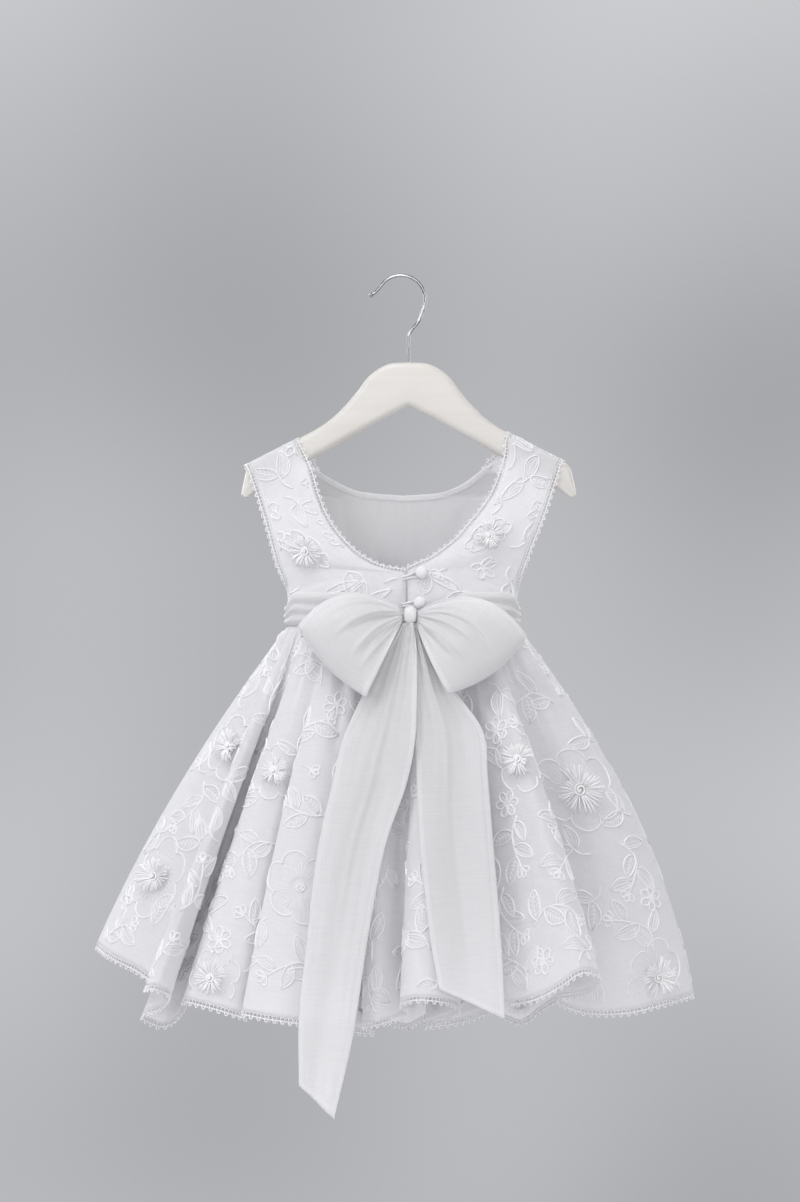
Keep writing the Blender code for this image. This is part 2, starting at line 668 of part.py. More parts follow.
def neck_lace(material):
    """Three strips. The front one turns over to the outside below the straps, and stands off there."""
    back_downs = [down for down in BACK_ROWS if down < NECK_CORNER[BACK]]
    for side, name in SIDE_NAMES.items():
        edge, inner = neck_edge(side, BACK, back_downs + [NECK_CORNER[BACK]])
        edge[-1] = mix(edge[-2], edge[-1], 0.9)
        inner[-1] = mix(inner[-2], inner[-1], 0.9)
        outward = square_to_edge(edge, inner, False)
        lace_strip("lace_neck_back_" + name, edge, outward, EDGE_LACE, material)
    stand_off = 0.5 * COTTON_WALL + GAP + 0.5 * LACE_WALL
    front_downs = [down for down in FRONT_ROWS if down < NECK_CORNER[FRONT]]
    middle_out = face_out(partial(bodice_point, LEFT, FRONT), 0.98, NECK_CORNER[FRONT] + 0.01)
    middle_out = unit(middle_out * (0.0, 1.0, 1.0))
    edge = [bodice_point(LEFT, FRONT, 1.0, NECK_CORNER[FRONT]) + middle_out * stand_off]
    outward = [unit(middle_out + LACE_DROOP)]
    for side in SIDE_NAMES:
        points, inner = neck_edge(side, FRONT, front_downs)
        ways = list(square_to_edge(points, inner, False))
        for i, down in enumerate(front_downs, len(STRAP_TURNS)):
            turned = ease(down, 0.03, 0.13)
            out = face_out(partial(bodice_point, side, FRONT), 0.98, max(down, 0.01))
            ways[i] = unit(mix(ways[i], unit(out + LACE_DROOP), turned))
            points[i] = points[i] + out * stand_off * turned
        edge = points + edge if side == LEFT else edge + points[::-1]
        outward = ways + outward if side == LEFT else outward + ways[::-1]
    lace_strip("lace_neck_front", edge, outward, EDGE_LACE, material)


# --- skirt -------------------------------------------------------------------------------------


def fold_rows(half):
    return np.array(SKIRT_BACK_FOLDS if half == BACK else SKIRT_FRONT_FOLDS)


def hem_knots(half):
    """Each fold's place along the hem, from 0 at the left seam to 1 at the right one."""
    rows = fold_rows(half)
    along = np.concatenate([[0.0], np.cumsum(np.linalg.norm(np.diff(rows[:, 1:4], axis=0), axis=1))])
    return along / along[-1]


def skirt_point(half, along, down):
    """A point of the skirt, 'along' its hem and 'down' its length, counted to the lace's edge."""
    row = through(hem_knots(half), fold_rows(half), along)[0]
    share, hem, swell = row[0], row[1:4], row[4]
    angle = math.pi * share
    cosine = math.cos(angle)
    top_x = WAIST_X - WAIST_HALF_WIDTH * math.copysign(abs(cosine) ** WAIST_CORNER, cosine)
    top_y = half * WAIST_HALF_DEPTH * abs(math.sin(angle)) ** WAIST_CORNER
    out = down + 4.0 * swell * down * (1.0 - down)
    x, y = mix(top_x, hem[0], out), mix(top_y, hem[1], out)
    z = mix(SKIRT_TOP, hem[2], down)
    inside = unit(np.array((WAIST_X - x, -2.5 * y, 0.0)))
    crease = 0.0
    for waist, depth, half_width, reach in GATHERS:
        fade = ease(down, 0.0, 0.06) * (1.0 - ease(down, 0.4 * reach, reach))
        crease += depth * fade * math.exp(-(((share - waist) / half_width) ** 2))
    return np.array((x, y, z)) + inside * crease


def skirt_places(half):
    return np.linspace(0.0, 1.0, SKIRT_COLUMNS[half] + 1)


def seam_in(grid):
    """Draws the first and last points of each row in from the side seam, where two walls meet at an angle."""
    for row in grid:
        row[0] = row[0] + unit(row[1] - row[0]) * SEAM_DRAW
        row[-1] = row[-1] + unit(row[-2] - row[-1]) * SEAM_DRAW
    return grid


def make_skirt(cotton, lace):
    cloth_end = 1.0 - (HEM_LACE + GAP) / SKIRT_LENGTH
    lace_start = 1.0 - HEM_LACE / SKIRT_LENGTH
    for half, name in ((BACK, "back"), (FRONT, "front")):
        places = skirt_places(half)
        rows = [down * cloth_end for down in SKIRT_ROWS]
        grid = [[skirt_point(half, along, down) for along in places] for down in rows]
        cloth("skirt_" + name, [seam_in(grid)], COTTON_WALL, cotton)
        edge = [[skirt_point(half, along, down) for along in places] for down in (lace_start, 1.0)]
        cloth("lace_hem_" + name, [seam_in(edge)], LACE_WALL, lace)


# --- sash --------------------------------------------------------------------------------------


def band_point(turn, height, fold):
    """A point of the band: 'turn' goes once round from the left side over the back, 'height' 0 to 1."""
    angle = 2.0 * math.pi * turn
    cosine, sine = math.cos(angle), math.sin(angle)
    off = BAND_BASE + fold
    x = WAIST_X - (WAIST_HALF_WIDTH + off) * math.copysign(abs(cosine) ** WAIST_CORNER, cosine)
    y = -(WAIST_HALF_DEPTH + off) * math.copysign(abs(sine) ** WAIST_CORNER, sine)
    to_knot = 1.0 - ease(abs(x - KNOT_CENTRE[0]), 22.0, 50.0) if y < 0 else 0.0
    under_arm = 1.0 - ease(abs(y), 12.0, 24.0)
    top = mix(BAND_TOP, BAND_TOP_AT_KNOT, to_knot)
    top = mix(top, BAND_TOP_UNDER_ARM, under_arm)
    foot = mix(BAND_FOOT, BAND_FOOT_AT_KNOT, to_knot)
    return np.array((x, y, mix(foot, top, height)))


def make_band(material):
    grid = []
    for level, fold in enumerate(BAND_FOLDS):
        height = level / (len(BAND_FOLDS) - 1)
        turns = np.arange(BAND_COLUMNS) / BAND_COLUMNS
        grid.append([band_point(turn, height, fold) for turn in turns])
    cloth("sash_band", [grid], ORGANZA_WALL, material, ring=True)


def make_knot(material):
    """The short turn of sash over the gathered roots, pinched a little at its middle."""
    bpy.ops.mesh.primitive_uv_sphere_add(segments=14, ring_count=8, radius=0.5)
    knot = bpy.context.object
    knot.name = "bow_knot"
    for vertex in knot.data.vertices:
        x, y, z = vertex.co
        squareness = 1.0 + 0.35 * (1.0 - 4.0 * z * z) * 4.0 * x * x
        pinch = 1.0 - 0.10 * math.cos(8.0 * x)
        vertex.co = Vector((x * KNOT_SIZE[0], y * KNOT_SIZE[1] * pinch, z * KNOT_SIZE[2])) * MM
        vertex.co.z *= min(squareness, 1.12)
        vertex.co += Vector(KNOT_CENTRE) * MM
    knot.data.materials.append(material)
    for collection in list(knot.users_collection):
        collection.objects.unlink(knot)
    gown.objects.link(knot)


def loop_point(side, around, across):
    """A point of a bow loop: 'around' goes out on the near side, over the fold and back behind."""
    shape = LOOPS[side]
    turn = math.pi * around
    out = math.sin(turn) ** 0.75 if 0.0 < around < 1.0 else 0.0
    (root_top, root_foot), (fold_top, fold_foot) = shape["root"], shape["fold"]
    bow_top, bow_foot, bow_fold = shape["bow"]
    root = mix(np.array(root_top), np.array(root_foot), across)
    fold = mix(np.array(fold_top), np.array(fold_foot), across)
    chord = unit(np.array(fold_foot) - np.array(fold_top))
    fold_out = np.array((side * abs(chord[1]), -abs(chord[0])))
    fold = fold + fold_out * bow_fold * 4.0 * across * (1.0 - across)
    spine = unit(fold - root)
    lift = np.array((-spine[1] * side, spine[0] * side))
    bow = mix(bow_top, -bow_foot, across)
    x, z = mix(root, fold, out) + lift * bow * 4.0 * out * (1.0 - out)
    middle = ROOT_Y - 3.0 * out - 20.0 * out * across
    opened = mix(0.16, 1.0, ease(out, 0.0, 0.6))
    pleat = 1.6 * math.sin(5.0 * math.pi * across) * (1.0 - ease(out, 0.25, 0.8)) * ease(out, 0.0, 0.15)
    if around < 0.5:
        depth = -LOOP_PUFF * math.cos(turn) * opened * (0.6 + 1.6 * across * (1.0 - across)) + pleat
    else:
        depth = -LOOP_BEHIND * math.cos(turn) * mix(0.35, 1.0, ease(out, 0.0, 0.6)) + 0.4 * pleat
    return np.array((x, middle + depth, z))


def make_loops(material):
    for side, name in SIDE_NAMES.items():
        arounds = np.linspace(0.0, 1.0, LOOP_COLUMNS)
        grid = []
        for across in np.linspace(0.0, 1.0, LOOP_ROWS):
            grid.append([loop_point(side, around, across) for around in arounds])
        cloth("bow_loop_" + name, [grid], ORGANZA_WALL, material)


def tail_y(z):
    """Where a tail hangs: below the knot, then just off the skirt's ridges, and down past the hem."""
    down = float(np.clip((SKIRT_TOP - z) / 345.0, 0.0, 1.0))
    on_skirt = -(WAIST_HALF_DEPTH + 78.0 * (down + 0.12 * down * (1.0 - down)) + TAIL_CLEAR)
    return min(on_skirt, TAIL_TOP_Y)


def tail_point(side, down, across):
    rows = np.array(TAILS[side])
    knots = np.linspace(0.0, 1.0, len(rows))
    left_x, left_z, right_x, right_z = through(knots, rows, down)[0]
    x, z = mix(left_x, right_x, across), mix(left_z, right_z, across)
    spread = ease(down, 0.0, 0.25)
    fold = 1.6 * math.sin(2.0 * math.pi * (1.5 * across + 0.6 * down)) * spread
    return np.array((x, tail_y(z) - 0.8 + fold, z))


def make_tails(material):
    for side, name in SIDE_NAMES.items():
        grid = []
        for down in np.linspace(0.0, 1.0, TAIL_ROWS):
            grid.append([tail_point(side, down, share) for share in np.linspace(0, 1, TAIL_COLUMNS)])
        cloth("sash_tail_" + name, [grid], ORGANZA_WALL, material)


# --- buttons -----------------------------------------------------------------------------------


def back_surface_y(x, z):
    """How far out the right back half lies at x and z."""
    best, out = 1e9, 0.0
    for across in np.linspace(0.5, 1.0, 41):
        for down in np.linspace(0.5, 1.0, 41):
            point = bodice_point(RIGHT, BACK, across, down)
            miss = (point[0] - x) ** 2 + (point[2] - z) ** 2
            if miss < best:
                best, out = miss, point[1]
    return out


def make_button(name, x, z, base_y, material):
    """A turned profile: dome, covered edge and shank, with its axis along Y."""
    mesh = bpy.data.meshes.new(name)
    points = [(radius * MM, 0.0, height * MM) for radius, height in BUTTON_PROFILE]
    mesh.from_pydata(points, [(i, i + 1) for i in range(len(points) - 1)], [])
    button = place(name, mesh, material)
    turning = button.modifiers.new("turned", "SCREW")
    turning.steps = 14
    turning.render_steps = 14
    turning.use_merge_vertices = True
    turning.merge_threshold = 0.00001
    button.rotation_euler = (math.radians(90.0), 0.0, 0.0)
    button.location = Vector((x, base_y, z)) * MM


def make_buttons(cotton):
    for name, (x, z, root_x, root_z) in BUTTONS.items():
        base_y = back_surface_y(x, z) - BUTTON_LIFT
        make_button("button_" + name, x, z, base_y, cotton)
        button, root = np.array((x, z)), np.array((root_x, root_z))
        ahead = unit(button - root)
        beside = np.array((-ahead[1], ahead[0]))
        round_shank = BUTTON_PROFILE[-3][0] + GAP + LOOP_CORD
        offsets = [(root, 1.3), (mix(root, button, 0.3), 1.7), (button - 5.0 * ahead, 2.5)]
        route = [point + beside * width for point, width in offsets]
        for degrees in range(90, -91, -30):
            turn = math.radians(degrees)
            route.append(button + round_shank * (ahead * math.cos(turn) + beside * math.sin(turn)))
        route += [point - beside * width for point, width in reversed(offsets)]
        cord_y = base_y - LOOP_CORD - 0.1
        wire("button_loop_" + name, [(a, cord_y, b) for a, b in route], LOOP_CORD, cotton)


# --- fringed flower centres --------------------------------------------------------------------


def make_tuft(name, foot, outward, size, material):
    """A small disc with tapering strands that stand out from its rim and rise at their tips."""
    outward = Vector(outward).normalized()
    sideways = outward.cross(Vector((0.0, 0.0, 1.0))).normalized()
    upward = sideways.cross(outward)
    shape = bmesh.new()

    def at(radius, degrees, height):
        turn = math.radians(degrees)
        flat = sideways * math.cos(turn) + upward * math.sin(turn)
        return (Vector(foot) + flat * radius + outward * height) * MM

    step = 360.0 / TUFT_STRANDS
    lower = [shape.verts.new(at(TUFT_DISC * size, step * i, 0.0)) for i in range(TUFT_STRANDS)]
    upper = [shape.verts.new(at(TUFT_DISC * size, step * i, TUFT_DISC_WALL)) for i in range(TUFT_STRANDS)]
    shape.faces.new(lower)
    shape.faces.new(upper)
    for i in range(TUFT_STRANDS):
        j = (i + 1) % TUFT_STRANDS
        middle = step * (i + 0.5)
        length = TUFT_LENGTHS[i % len(TUFT_LENGTHS)] * size
        ring = [lower[i], lower[j], upper[j], upper[i]]
        for share, lift, thick in ((0.5, TUFT_LIFT[0], 1.2), (1.0, TUFT_LIFT[1], 0.7)):
            radius = TUFT_DISC * size + length * share
            spread = math.degrees(0.5 * thick / radius)
            corners = [(-spread, 0.0), (spread, 0.0), (spread, thick), (-spread, thick)]
            tip = [shape.verts.new(at(radius, middle + turn, lift + rise)) for turn, rise in corners]
            for k in range(4):
                m = (k + 1) % 4
                shape.faces.new((ring[k], ring[m], tip[m], tip[k]))
            ring = tip
        shape.faces.new(ring)
    bmesh.ops.recalc_face_normals(shape, faces=shape.faces)
    mesh = bpy.data.meshes.new(name)
    shape.to_mesh(mesh)
    shape.free()
    place(name, mesh, material)


def rim_rise(point_at, across, down, outward, radius, step=0.004):
    """How far a surface rises, round a place on it, above the flat disc that it would carry there."""
    centre = point_at(across, down)
    per_across = np.linalg.norm(point_at(across + step, down) - centre) / step
    per_down = np.linalg.norm(point_at(across, down + step) - centre) / step
    rises = [0.0]
    for turn in np.radians(range(0, 360, 45)):
        beside, below = radius * math.cos(turn) / per_across, radius * math.sin(turn) / per_down
        rises.append(np.dot(point_at(across + beside, down + below) - centre, outward))
    return max(rises)


def make_tufts(thread):
    places = []
    for half, along, down, size in TUFTS_ON_SKIRT:
        places.append((partial(skirt_point, half), along, down, size, FACET_SLACK["skirt"]))
    for face, side, across, down, size in TUFTS_ON_BODICE:
        places.append((partial(bodice_point, side, face), across, down, size, FACET_SLACK["bodice"]))
    for number, (point_at, across, down, size, slack) in enumerate(places, 1):
        outward = face_out(point_at, across, down)
        rise = rim_rise(point_at, across, down, outward, TUFT_DISC * size)
        lift = 0.5 * COTTON_WALL + GAP + slack + rise
        make_tuft("tuft_%02d" % number, point_at(across, down) + outward * lift, outward, size, thread)


# --- the whole gown ----------------------------------------------------------------------------

for old in list(bpy.data.objects):
    bpy.data.objects.remove(old)
gown = bpy.data.collections.new("christening_gown_on_hanger")
bpy.context.scene.collection.children.link(gown)

white_wood = finish("white_painted_wood", (0.80, 0.78, 0.74), 0.45)
chrome = finish("chromed_wire", (0.75, 0.76, 0.78), 0.12, 1.0)
embroidered_cotton = finish("embroidered_cotton", (0.86, 0.86, 0.88), 0.85)
plain_voile = finish("plain_voile", (0.80, 0.80, 0.82), 0.85)
picot_lace = finish("picot_lace", (0.88, 0.88, 0.90), 0.80)
organza = finish("organza", (0.84, 0.83, 0.86), 0.55)
fringe_thread = finish("fringe_thread", (0.90, 0.90, 0.92), 0.75)

make_hanger(white_wood)
make_hook(chrome)
make_bodice(embroidered_cotton, plain_voile)
armhole_lace(LEFT, picot_lace)
armhole_lace(RIGHT, picot_lace)
neck_lace(picot_lace)
make_skirt(embroidered_cotton, picot_lace)
make_band(organza)
make_knot(organza)
make_loops(organza)
make_tails(organza)
make_buttons(embroidered_cotton)
make_tufts(fringe_thread)
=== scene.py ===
"""A baby's christening gown hanging on a wooden hanger, seen from its back.

Lengths in the tables are in millimetres, and MM turns them into metres. The origin is the inner top
of the hook. The gown's left and right are those of someone who looks at its back, along +Y.
"""

import math

import bpy
import numpy as np
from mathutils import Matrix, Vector


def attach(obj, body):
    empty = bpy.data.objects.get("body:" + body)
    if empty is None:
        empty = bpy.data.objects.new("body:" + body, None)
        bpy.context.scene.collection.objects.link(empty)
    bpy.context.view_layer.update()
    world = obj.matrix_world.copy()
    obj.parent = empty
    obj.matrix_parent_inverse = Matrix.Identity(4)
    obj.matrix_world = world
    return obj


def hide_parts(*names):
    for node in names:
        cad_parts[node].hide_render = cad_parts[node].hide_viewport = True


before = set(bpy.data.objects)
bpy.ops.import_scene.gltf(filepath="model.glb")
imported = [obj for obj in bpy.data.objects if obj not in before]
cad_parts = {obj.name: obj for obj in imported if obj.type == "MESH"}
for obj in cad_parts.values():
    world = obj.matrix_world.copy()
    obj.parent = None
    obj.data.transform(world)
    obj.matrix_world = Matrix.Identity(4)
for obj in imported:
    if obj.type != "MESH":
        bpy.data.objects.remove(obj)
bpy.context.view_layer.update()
bpy.ops.object.select_all(action="DESELECT")

MM = 0.001
LEFT, RIGHT = -1, 1
BACK, FRONT = -1, 1
SIDE_NAMES = {LEFT: "left", RIGHT: "right"}


# --- Studio ----------------------------------------------------------------------------------------
# A round pale floor well below the gown, in a plain grey room. Soft lights stand in front, to both
# sides and behind, one hangs overhead, and a weak low one fills the skirt from underneath.

FLOOR_PLACE, FLOOR_RADIUS = (0.0, 0.0, -1.3), 2.0
GOWN_MIDDLE = Vector((0.0, 0.0, -0.4))

bpy.ops.mesh.primitive_circle_add(vertices=96, radius=FLOOR_RADIUS, fill_type="NGON", location=FLOOR_PLACE)
floor = bpy.context.object
floor.name = "studio_floor"
bpy.ops.object.transform_apply(location=True, rotation=True, scale=True)


def set_inputs(node, values):
    """Gives some of a node's inputs fixed values, and returns the node."""
    for label, value in values.items():
        node.inputs[label].default_value = value
    return node


def plain_finish(name, colour, roughness):
    """A Principled material, with what is the same all over set on the shader's own sockets."""
    material = bpy.data.materials.new(name)
    material.use_nodes = True
    shader = material.node_tree.nodes["Principled BSDF"]
    set_inputs(shader, {"Base Color": (*colour, 1.0), "Roughness": roughness})
    return material, material.node_tree, shader


def fed(tree, kind, vector, values):
    """A node that a vector feeds, with some of its inputs set."""
    node = set_inputs(tree.nodes.new(kind), values)
    tree.links.new(vector, node.inputs["Vector"])
    return node


def coordinates(tree, kind):
    return tree.nodes.new("ShaderNodeTexCoord").outputs[kind]


def tones(tree, factor, dark, light, target):
    """Mixes two colours by a factor, into a socket."""
    blend = tree.nodes.new("ShaderNodeMix")
    blend.data_type = "RGBA"
    set_inputs(blend, {"A": (*dark, 1.0), "B": (*light, 1.0)})
    tree.links.new(factor, blend.inputs["Factor"])
    tree.links.new(blend.outputs["Result"], target)


def clouded(tree, coordinate, scale, dark, light, target):
    """Two greys in wide soft clouds, into a socket."""
    clouds = fed(tree, "ShaderNodeTexNoise", coordinates(tree, coordinate), {"Scale": scale, "Detail": 0.0})
    tones(tree, clouds.outputs["Fac"], dark, light, target)


floor_finish, tree, shader = plain_finish("pale_floor", (0.6, 0.6, 0.61), 0.9)
clouded(tree, "Object", 0.8, (0.54, 0.54, 0.56), (0.64, 0.64, 0.65), shader.inputs["Base Color"])
floor.data.materials.append(floor_finish)

COOL, WARM, NEUTRAL = (0.97, 0.98, 1.0), (1.0, 0.975, 0.955), (0.99, 0.98, 1.0)
SOFTBOXES = [
    # name, width and height, place, watts, colour
    ("key_left", (1.0, 1.0), (-2.2, -2.2, 1.1), 24.0, COOL),
    ("front_strip", (0.8, 3.2), (0.0, -4.6, 0.9), 38.0, NEUTRAL),
    ("fill_right", (2.4, 2.4), (2.6, -3.0, 0.0), 16.0, WARM),
    ("overhead", (1.4, 1.4), (-0.5, -1.2, 2.0), 22.0, NEUTRAL),
    ("far_left", (2.4, 2.4), (-2.6, 3.0, 0.6), 58.0, NEUTRAL),
    ("far_right", (2.4, 2.4), (2.8, 2.8, 0.2), 46.0, NEUTRAL),
    ("low_card", (1.0, 1.0), (0.0, -0.1, -1.2), 1.6, NEUTRAL),
]
for name, size, place, power, colour in SOFTBOXES:
    bpy.ops.object.light_add(type="AREA", location=place)
    lamp = bpy.context.object
    lamp.name = name
    lamp.data.shape = "RECTANGLE"
    lamp.data.size, lamp.data.size_y = size
    lamp.data.energy = power
    lamp.data.color = colour
    lamp.rotation_euler = (GOWN_MIDDLE - Vector(place)).to_track_quat("-Z", "Y").to_euler()
    lamp.visible_camera = False

world = bpy.data.worlds.new("room")
world.use_nodes = True
walls = world.node_tree.nodes["Background"].inputs["Color"]
clouded(world.node_tree, "Generated", 9.0, (0.30, 0.305, 0.32), (0.66, 0.665, 0.685), walls)
bpy.context.scene.world = world
bpy.context.scene.view_settings.view_transform = "Standard"

bpy.ops.object.camera_add(location=(-0.0009, -3.606, -0.2916), rotation=(math.pi / 2.0, 0.0, 0.0))
camera = bpy.context.object
camera.data.lens = 120.0
camera.data.sensor_width = 36.0
bpy.context.scene.camera = camera


# --- Hanger board ----------------------------------------------------------------------------------
# One piece of beech, cut to a shallow arch with drooping ends, its edges turned fully round on a
# router, sanded, and sprayed with warm white satin paint.

HANGER_X = 7.0
BOARD_HALF = 6.0
ARM_SLOPE = math.radians(27.2)
ARM_START = (95.7, -143.6)
HANGER_ARM = [
    # from_middle, z, how far the round edge reaches in
    (0.0, -76.8, 6.0), (18.0, -78.3, 6.0), (34.7, -88.2, 6.0), (46.0, -102.6, 6.0), (57.3, -115.8, 6.0),
    (68.6, -126.8, 6.0), (82.0, -136.2, 6.0), (95.7, -143.6, 6.0), (120.0, -156.1, 6.0),
    (141.0, -166.9, 6.0), (145.2, -171.8, 5.0), (147.8, -181.0, 4.0), (149.8, -190.5, 3.0),
    (150.4, -197.4, 1.8), (147.4, -199.2, 1.8), (136.4, -193.1, 4.0), (118.0, -182.1, 6.0),
    (80.0, -159.9, 6.0), (40.0, -137.4, 6.0), (16.0, -124.4, 6.0), (4.0, -118.2, 6.0), (0.0, -116.4, 6.0),
]
ARM_SAMPLES, ROUND_STEPS = 120, 12


def unit(vectors):
    """A vector, or each vector of a row or grid, made one long."""
    return vectors / np.maximum(np.linalg.norm(vectors, axis=-1, keepdims=True), 1e-9)


def through(knots, points, at):
    """A smooth curve through the points, read at the given places along the knots."""
    knots, points = np.asarray(knots, float), np.asarray(points, float)
    steps = np.diff(knots)[:, None]
    slopes = np.diff(points, axis=0) / steps
    inner = (slopes[:-1] * steps[1:] + slopes[1:] * steps[:-1]) / (steps[:-1] + steps[1:])
    tangents = np.vstack([slopes[:1], inner, slopes[-1:]])
    at = np.clip(np.atleast_1d(at).astype(float), knots[0], knots[-1])
    i = np.clip(np.searchsorted(knots, at, side="right") - 1, 0, len(steps) - 1)
    w = ((at - knots[i]) / steps[i, 0])[:, None]
    start = (1 + 2 * w) * (1 - w) ** 2 * points[i] + w * (1 - w) ** 2 * steps[i] * tangents[i]
    end = w**2 * (3 - 2 * w) * points[i + 1] + w**2 * (w - 1) * steps[i] * tangents[i + 1]
    return start + end


def lengths_along(points):
    """The distance from the first point to each one."""
    steps = np.linalg.norm(np.diff(np.asarray(points, float), axis=0), axis=-1)
    return np.concatenate([[0.0], np.cumsum(steps)])


arm = np.array(HANGER_ARM)
run = lengths_along(arm[:, :2])
arm = through(run, arm, np.linspace(0.0, run[-1], ARM_SAMPLES))
arm[0, 0] = arm[-1, 0] = 0.0
outline = np.vstack([arm, (arm * (-1.0, 1.0, 1.0))[-2:0:-1]])
outline[:, 0] += HANGER_X
ahead = unit(np.roll(outline[:, :2], -1, axis=0) - np.roll(outline[:, :2], 1, axis=0))
inward = np.stack([ahead[:, 1], -ahead[:, 0]], axis=1)


def place_ring(vertices, turn):
    """Puts the outline where the board's round edge has turned so far from its middle plane."""
    reach = outline[:, 2:] * (1.0 - math.cos(turn))
    for vertex, (x, z) in zip(vertices, outline[:, :2] + inward * reach):
        vertex.co = (x * MM, BOARD_HALF * math.sin(turn) * MM, z * MM)


def edited(tool, **settings):
    """Runs a mesh tool on the whole of the active object."""
    bpy.ops.object.mode_set(mode="EDIT")
    bpy.ops.mesh.select_all(action="SELECT")
    tool(**settings)
    bpy.ops.object.mode_set(mode="OBJECT")


bpy.ops.mesh.primitive_circle_add(vertices=len(outline), radius=0.1, fill_type="NOTHING")
board = bpy.context.object
board.name = "hanger_board"
turns = np.linspace(-0.5 * math.pi, 0.5 * math.pi, ROUND_STEPS + 1)
place_ring(board.data.vertices, turns[0])
bpy.ops.object.mode_set(mode="EDIT")
bpy.ops.mesh.select_all(action="SELECT")
for turn in turns[1:]:
    bpy.ops.mesh.extrude_edges_move()
    bpy.ops.object.mode_set(mode="OBJECT")
    place_ring([vertex for vertex in board.data.vertices if vertex.select], turn)
    bpy.ops.object.mode_set(mode="EDIT")
bpy.ops.mesh.edge_face_add()
bpy.ops.object.mode_set(mode="OBJECT")
for vertex in board.data.vertices:
    vertex.select = vertex.index < len(outline)
bpy.ops.object.mode_set(mode="EDIT")
bpy.ops.mesh.select_mode(type="VERT")
bpy.ops.mesh.edge_face_add()
edited(bpy.ops.mesh.normals_make_consistent, inside=False)
bpy.ops.object.shade_smooth_by_angle(angle=math.radians(35.0))


def effect_group(name, outputs, **numbers):
    """An empty shader node group: a vector and some numbers go in, and values come out."""
    group = bpy.data.node_groups.new(name, "ShaderNodeTree")
    group.interface.new_socket("Vector", in_out="INPUT", socket_type="NodeSocketVector")
    for label, value in numbers.items():
        socket = group.interface.new_socket(label, in_out="INPUT", socket_type="NodeSocketFloat")
        socket.default_value = value
    for label in outputs:
        group.interface.new_socket(label, in_out="OUTPUT", socket_type="NodeSocketFloat")
    return group, group.nodes.new("NodeGroupInput").outputs, group.nodes.new("NodeGroupOutput").inputs


def worked(tree, operation, *values):
    """A Math node whose inputs are numbers or other nodes' outputs."""
    node = tree.nodes.new("ShaderNodeMath")
    node.operation = operation
    for socket, value in zip(node.inputs, values):
        if isinstance(value, (int, float)):
            socket.default_value = value
        else:
            tree.links.new(value, socket)
    return node.outputs["Value"]


def streaked(tree, vector, stretch, scale, detail=3.0):
    """Noise drawn out along one direction, 0 to 1."""
    drawn = fed(tree, "ShaderNodeMapping", vector, {"Scale": stretch}).outputs["Vector"]
    return fed(tree, "ShaderNodeTexNoise", drawn, {"Scale": scale, "Detail": detail}).outputs["Fac"]


# Grain that telegraphs through paint: long streaks along X and a fine orange-peel.
grain, given, result = effect_group("painted_grain", ("Height", "Shade"))
long_grain = streaked(grain, given["Vector"], (8.0, 160.0, 160.0), 1.0)
peel = streaked(grain, given["Vector"], (1.0, 1.0, 1.0), 900.0, 1.0)
grain.links.new(worked(grain, "MULTIPLY_ADD", peel, 0.35, long_grain), result["Height"])
grain.links.new(long_grain, result["Shade"])


def use_group(tree, group, vector, values):
    """Places a node group in a material, with its own values."""
    node = tree.nodes.new("ShaderNodeGroup")
    node.node_tree = group
    tree.links.new(vector, node.inputs["Vector"])
    return set_inputs(node, values).outputs


def bumped(tree, shader, height, strength, distance):
    """Feeds a height into the shader's normal."""
    bump = set_inputs(tree.nodes.new("ShaderNodeBump"), {"Strength": strength, "Distance": distance})
    tree.links.new(height, bump.inputs["Height"])
    tree.links.new(bump.outputs["Normal"], shader.inputs["Normal"])


paint, tree, shader = plain_finish("warm_white_paint", (0.8, 0.78, 0.74), 0.38)
coat = use_group(tree, grain, coordinates(tree, "Object"), {})
tones(tree, coat["Shade"], (0.68, 0.655, 0.61), (0.77, 0.75, 0.705), shader.inputs["Base Color"])
bumped(tree, shader, coat["Height"], 0.25, 0.0004)
board.data.materials.append(paint)


def joins_gown(piece, slot, *nodes_replaced):
    """Hangs a piece on the root body and hides the imported parts that it stands for; the slot, its finish, is
    not used.
    """
    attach(piece, "root")
    if nodes_replaced:
        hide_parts(*nodes_replaced)


joins_gown(board, "white_painted_wood", "hanger_body")


# --- Hook ------------------------------------------------------------------------------------------
# Chromed steel wire, 3 mm thick, bent to an open hook with a small ball on its end, and screwed into
# the top of the board.

WIRE_RADIUS = 1.5
HOOK_RADIUS = 21.9
HOOK_OPENS_AT, HOOK_LEAVES_AT = 146.0, -28.0
ARC_STEPS, STEM_STEPS = 64, 44
HOOK_END = [
    # x, z, thickness as a share of the wire's
    (-28.6, -16.9, 0.25), (-28.3, -16.8, 1.0), (-27.7, -16.5, 1.5), (-27.0, -16.2, 1.65),
    (-26.3, -15.8, 1.5), (-25.8, -15.6, 1.15), (-25.2, -15.2, 1.0), (-23.0, -13.8, 1.0),
]
HOOK_STEM = [(16.0, -39.6), (9.2, -48.4), (7.2, -52.6), (7.0, -58.0), (7.0, -66.0), (7.0, -77.5)]


def through_points(points, count):
    """The same route through the points, in even steps."""
    run = lengths_along(points)
    return through(run, points, np.linspace(0.0, run[-1], count))


def made_active(piece):
    """Selects a piece alone, for the tools that work on what is active."""
    bpy.ops.object.select_all(action="DESELECT")
    piece.select_set(True)
    bpy.context.view_layer.objects.active = piece


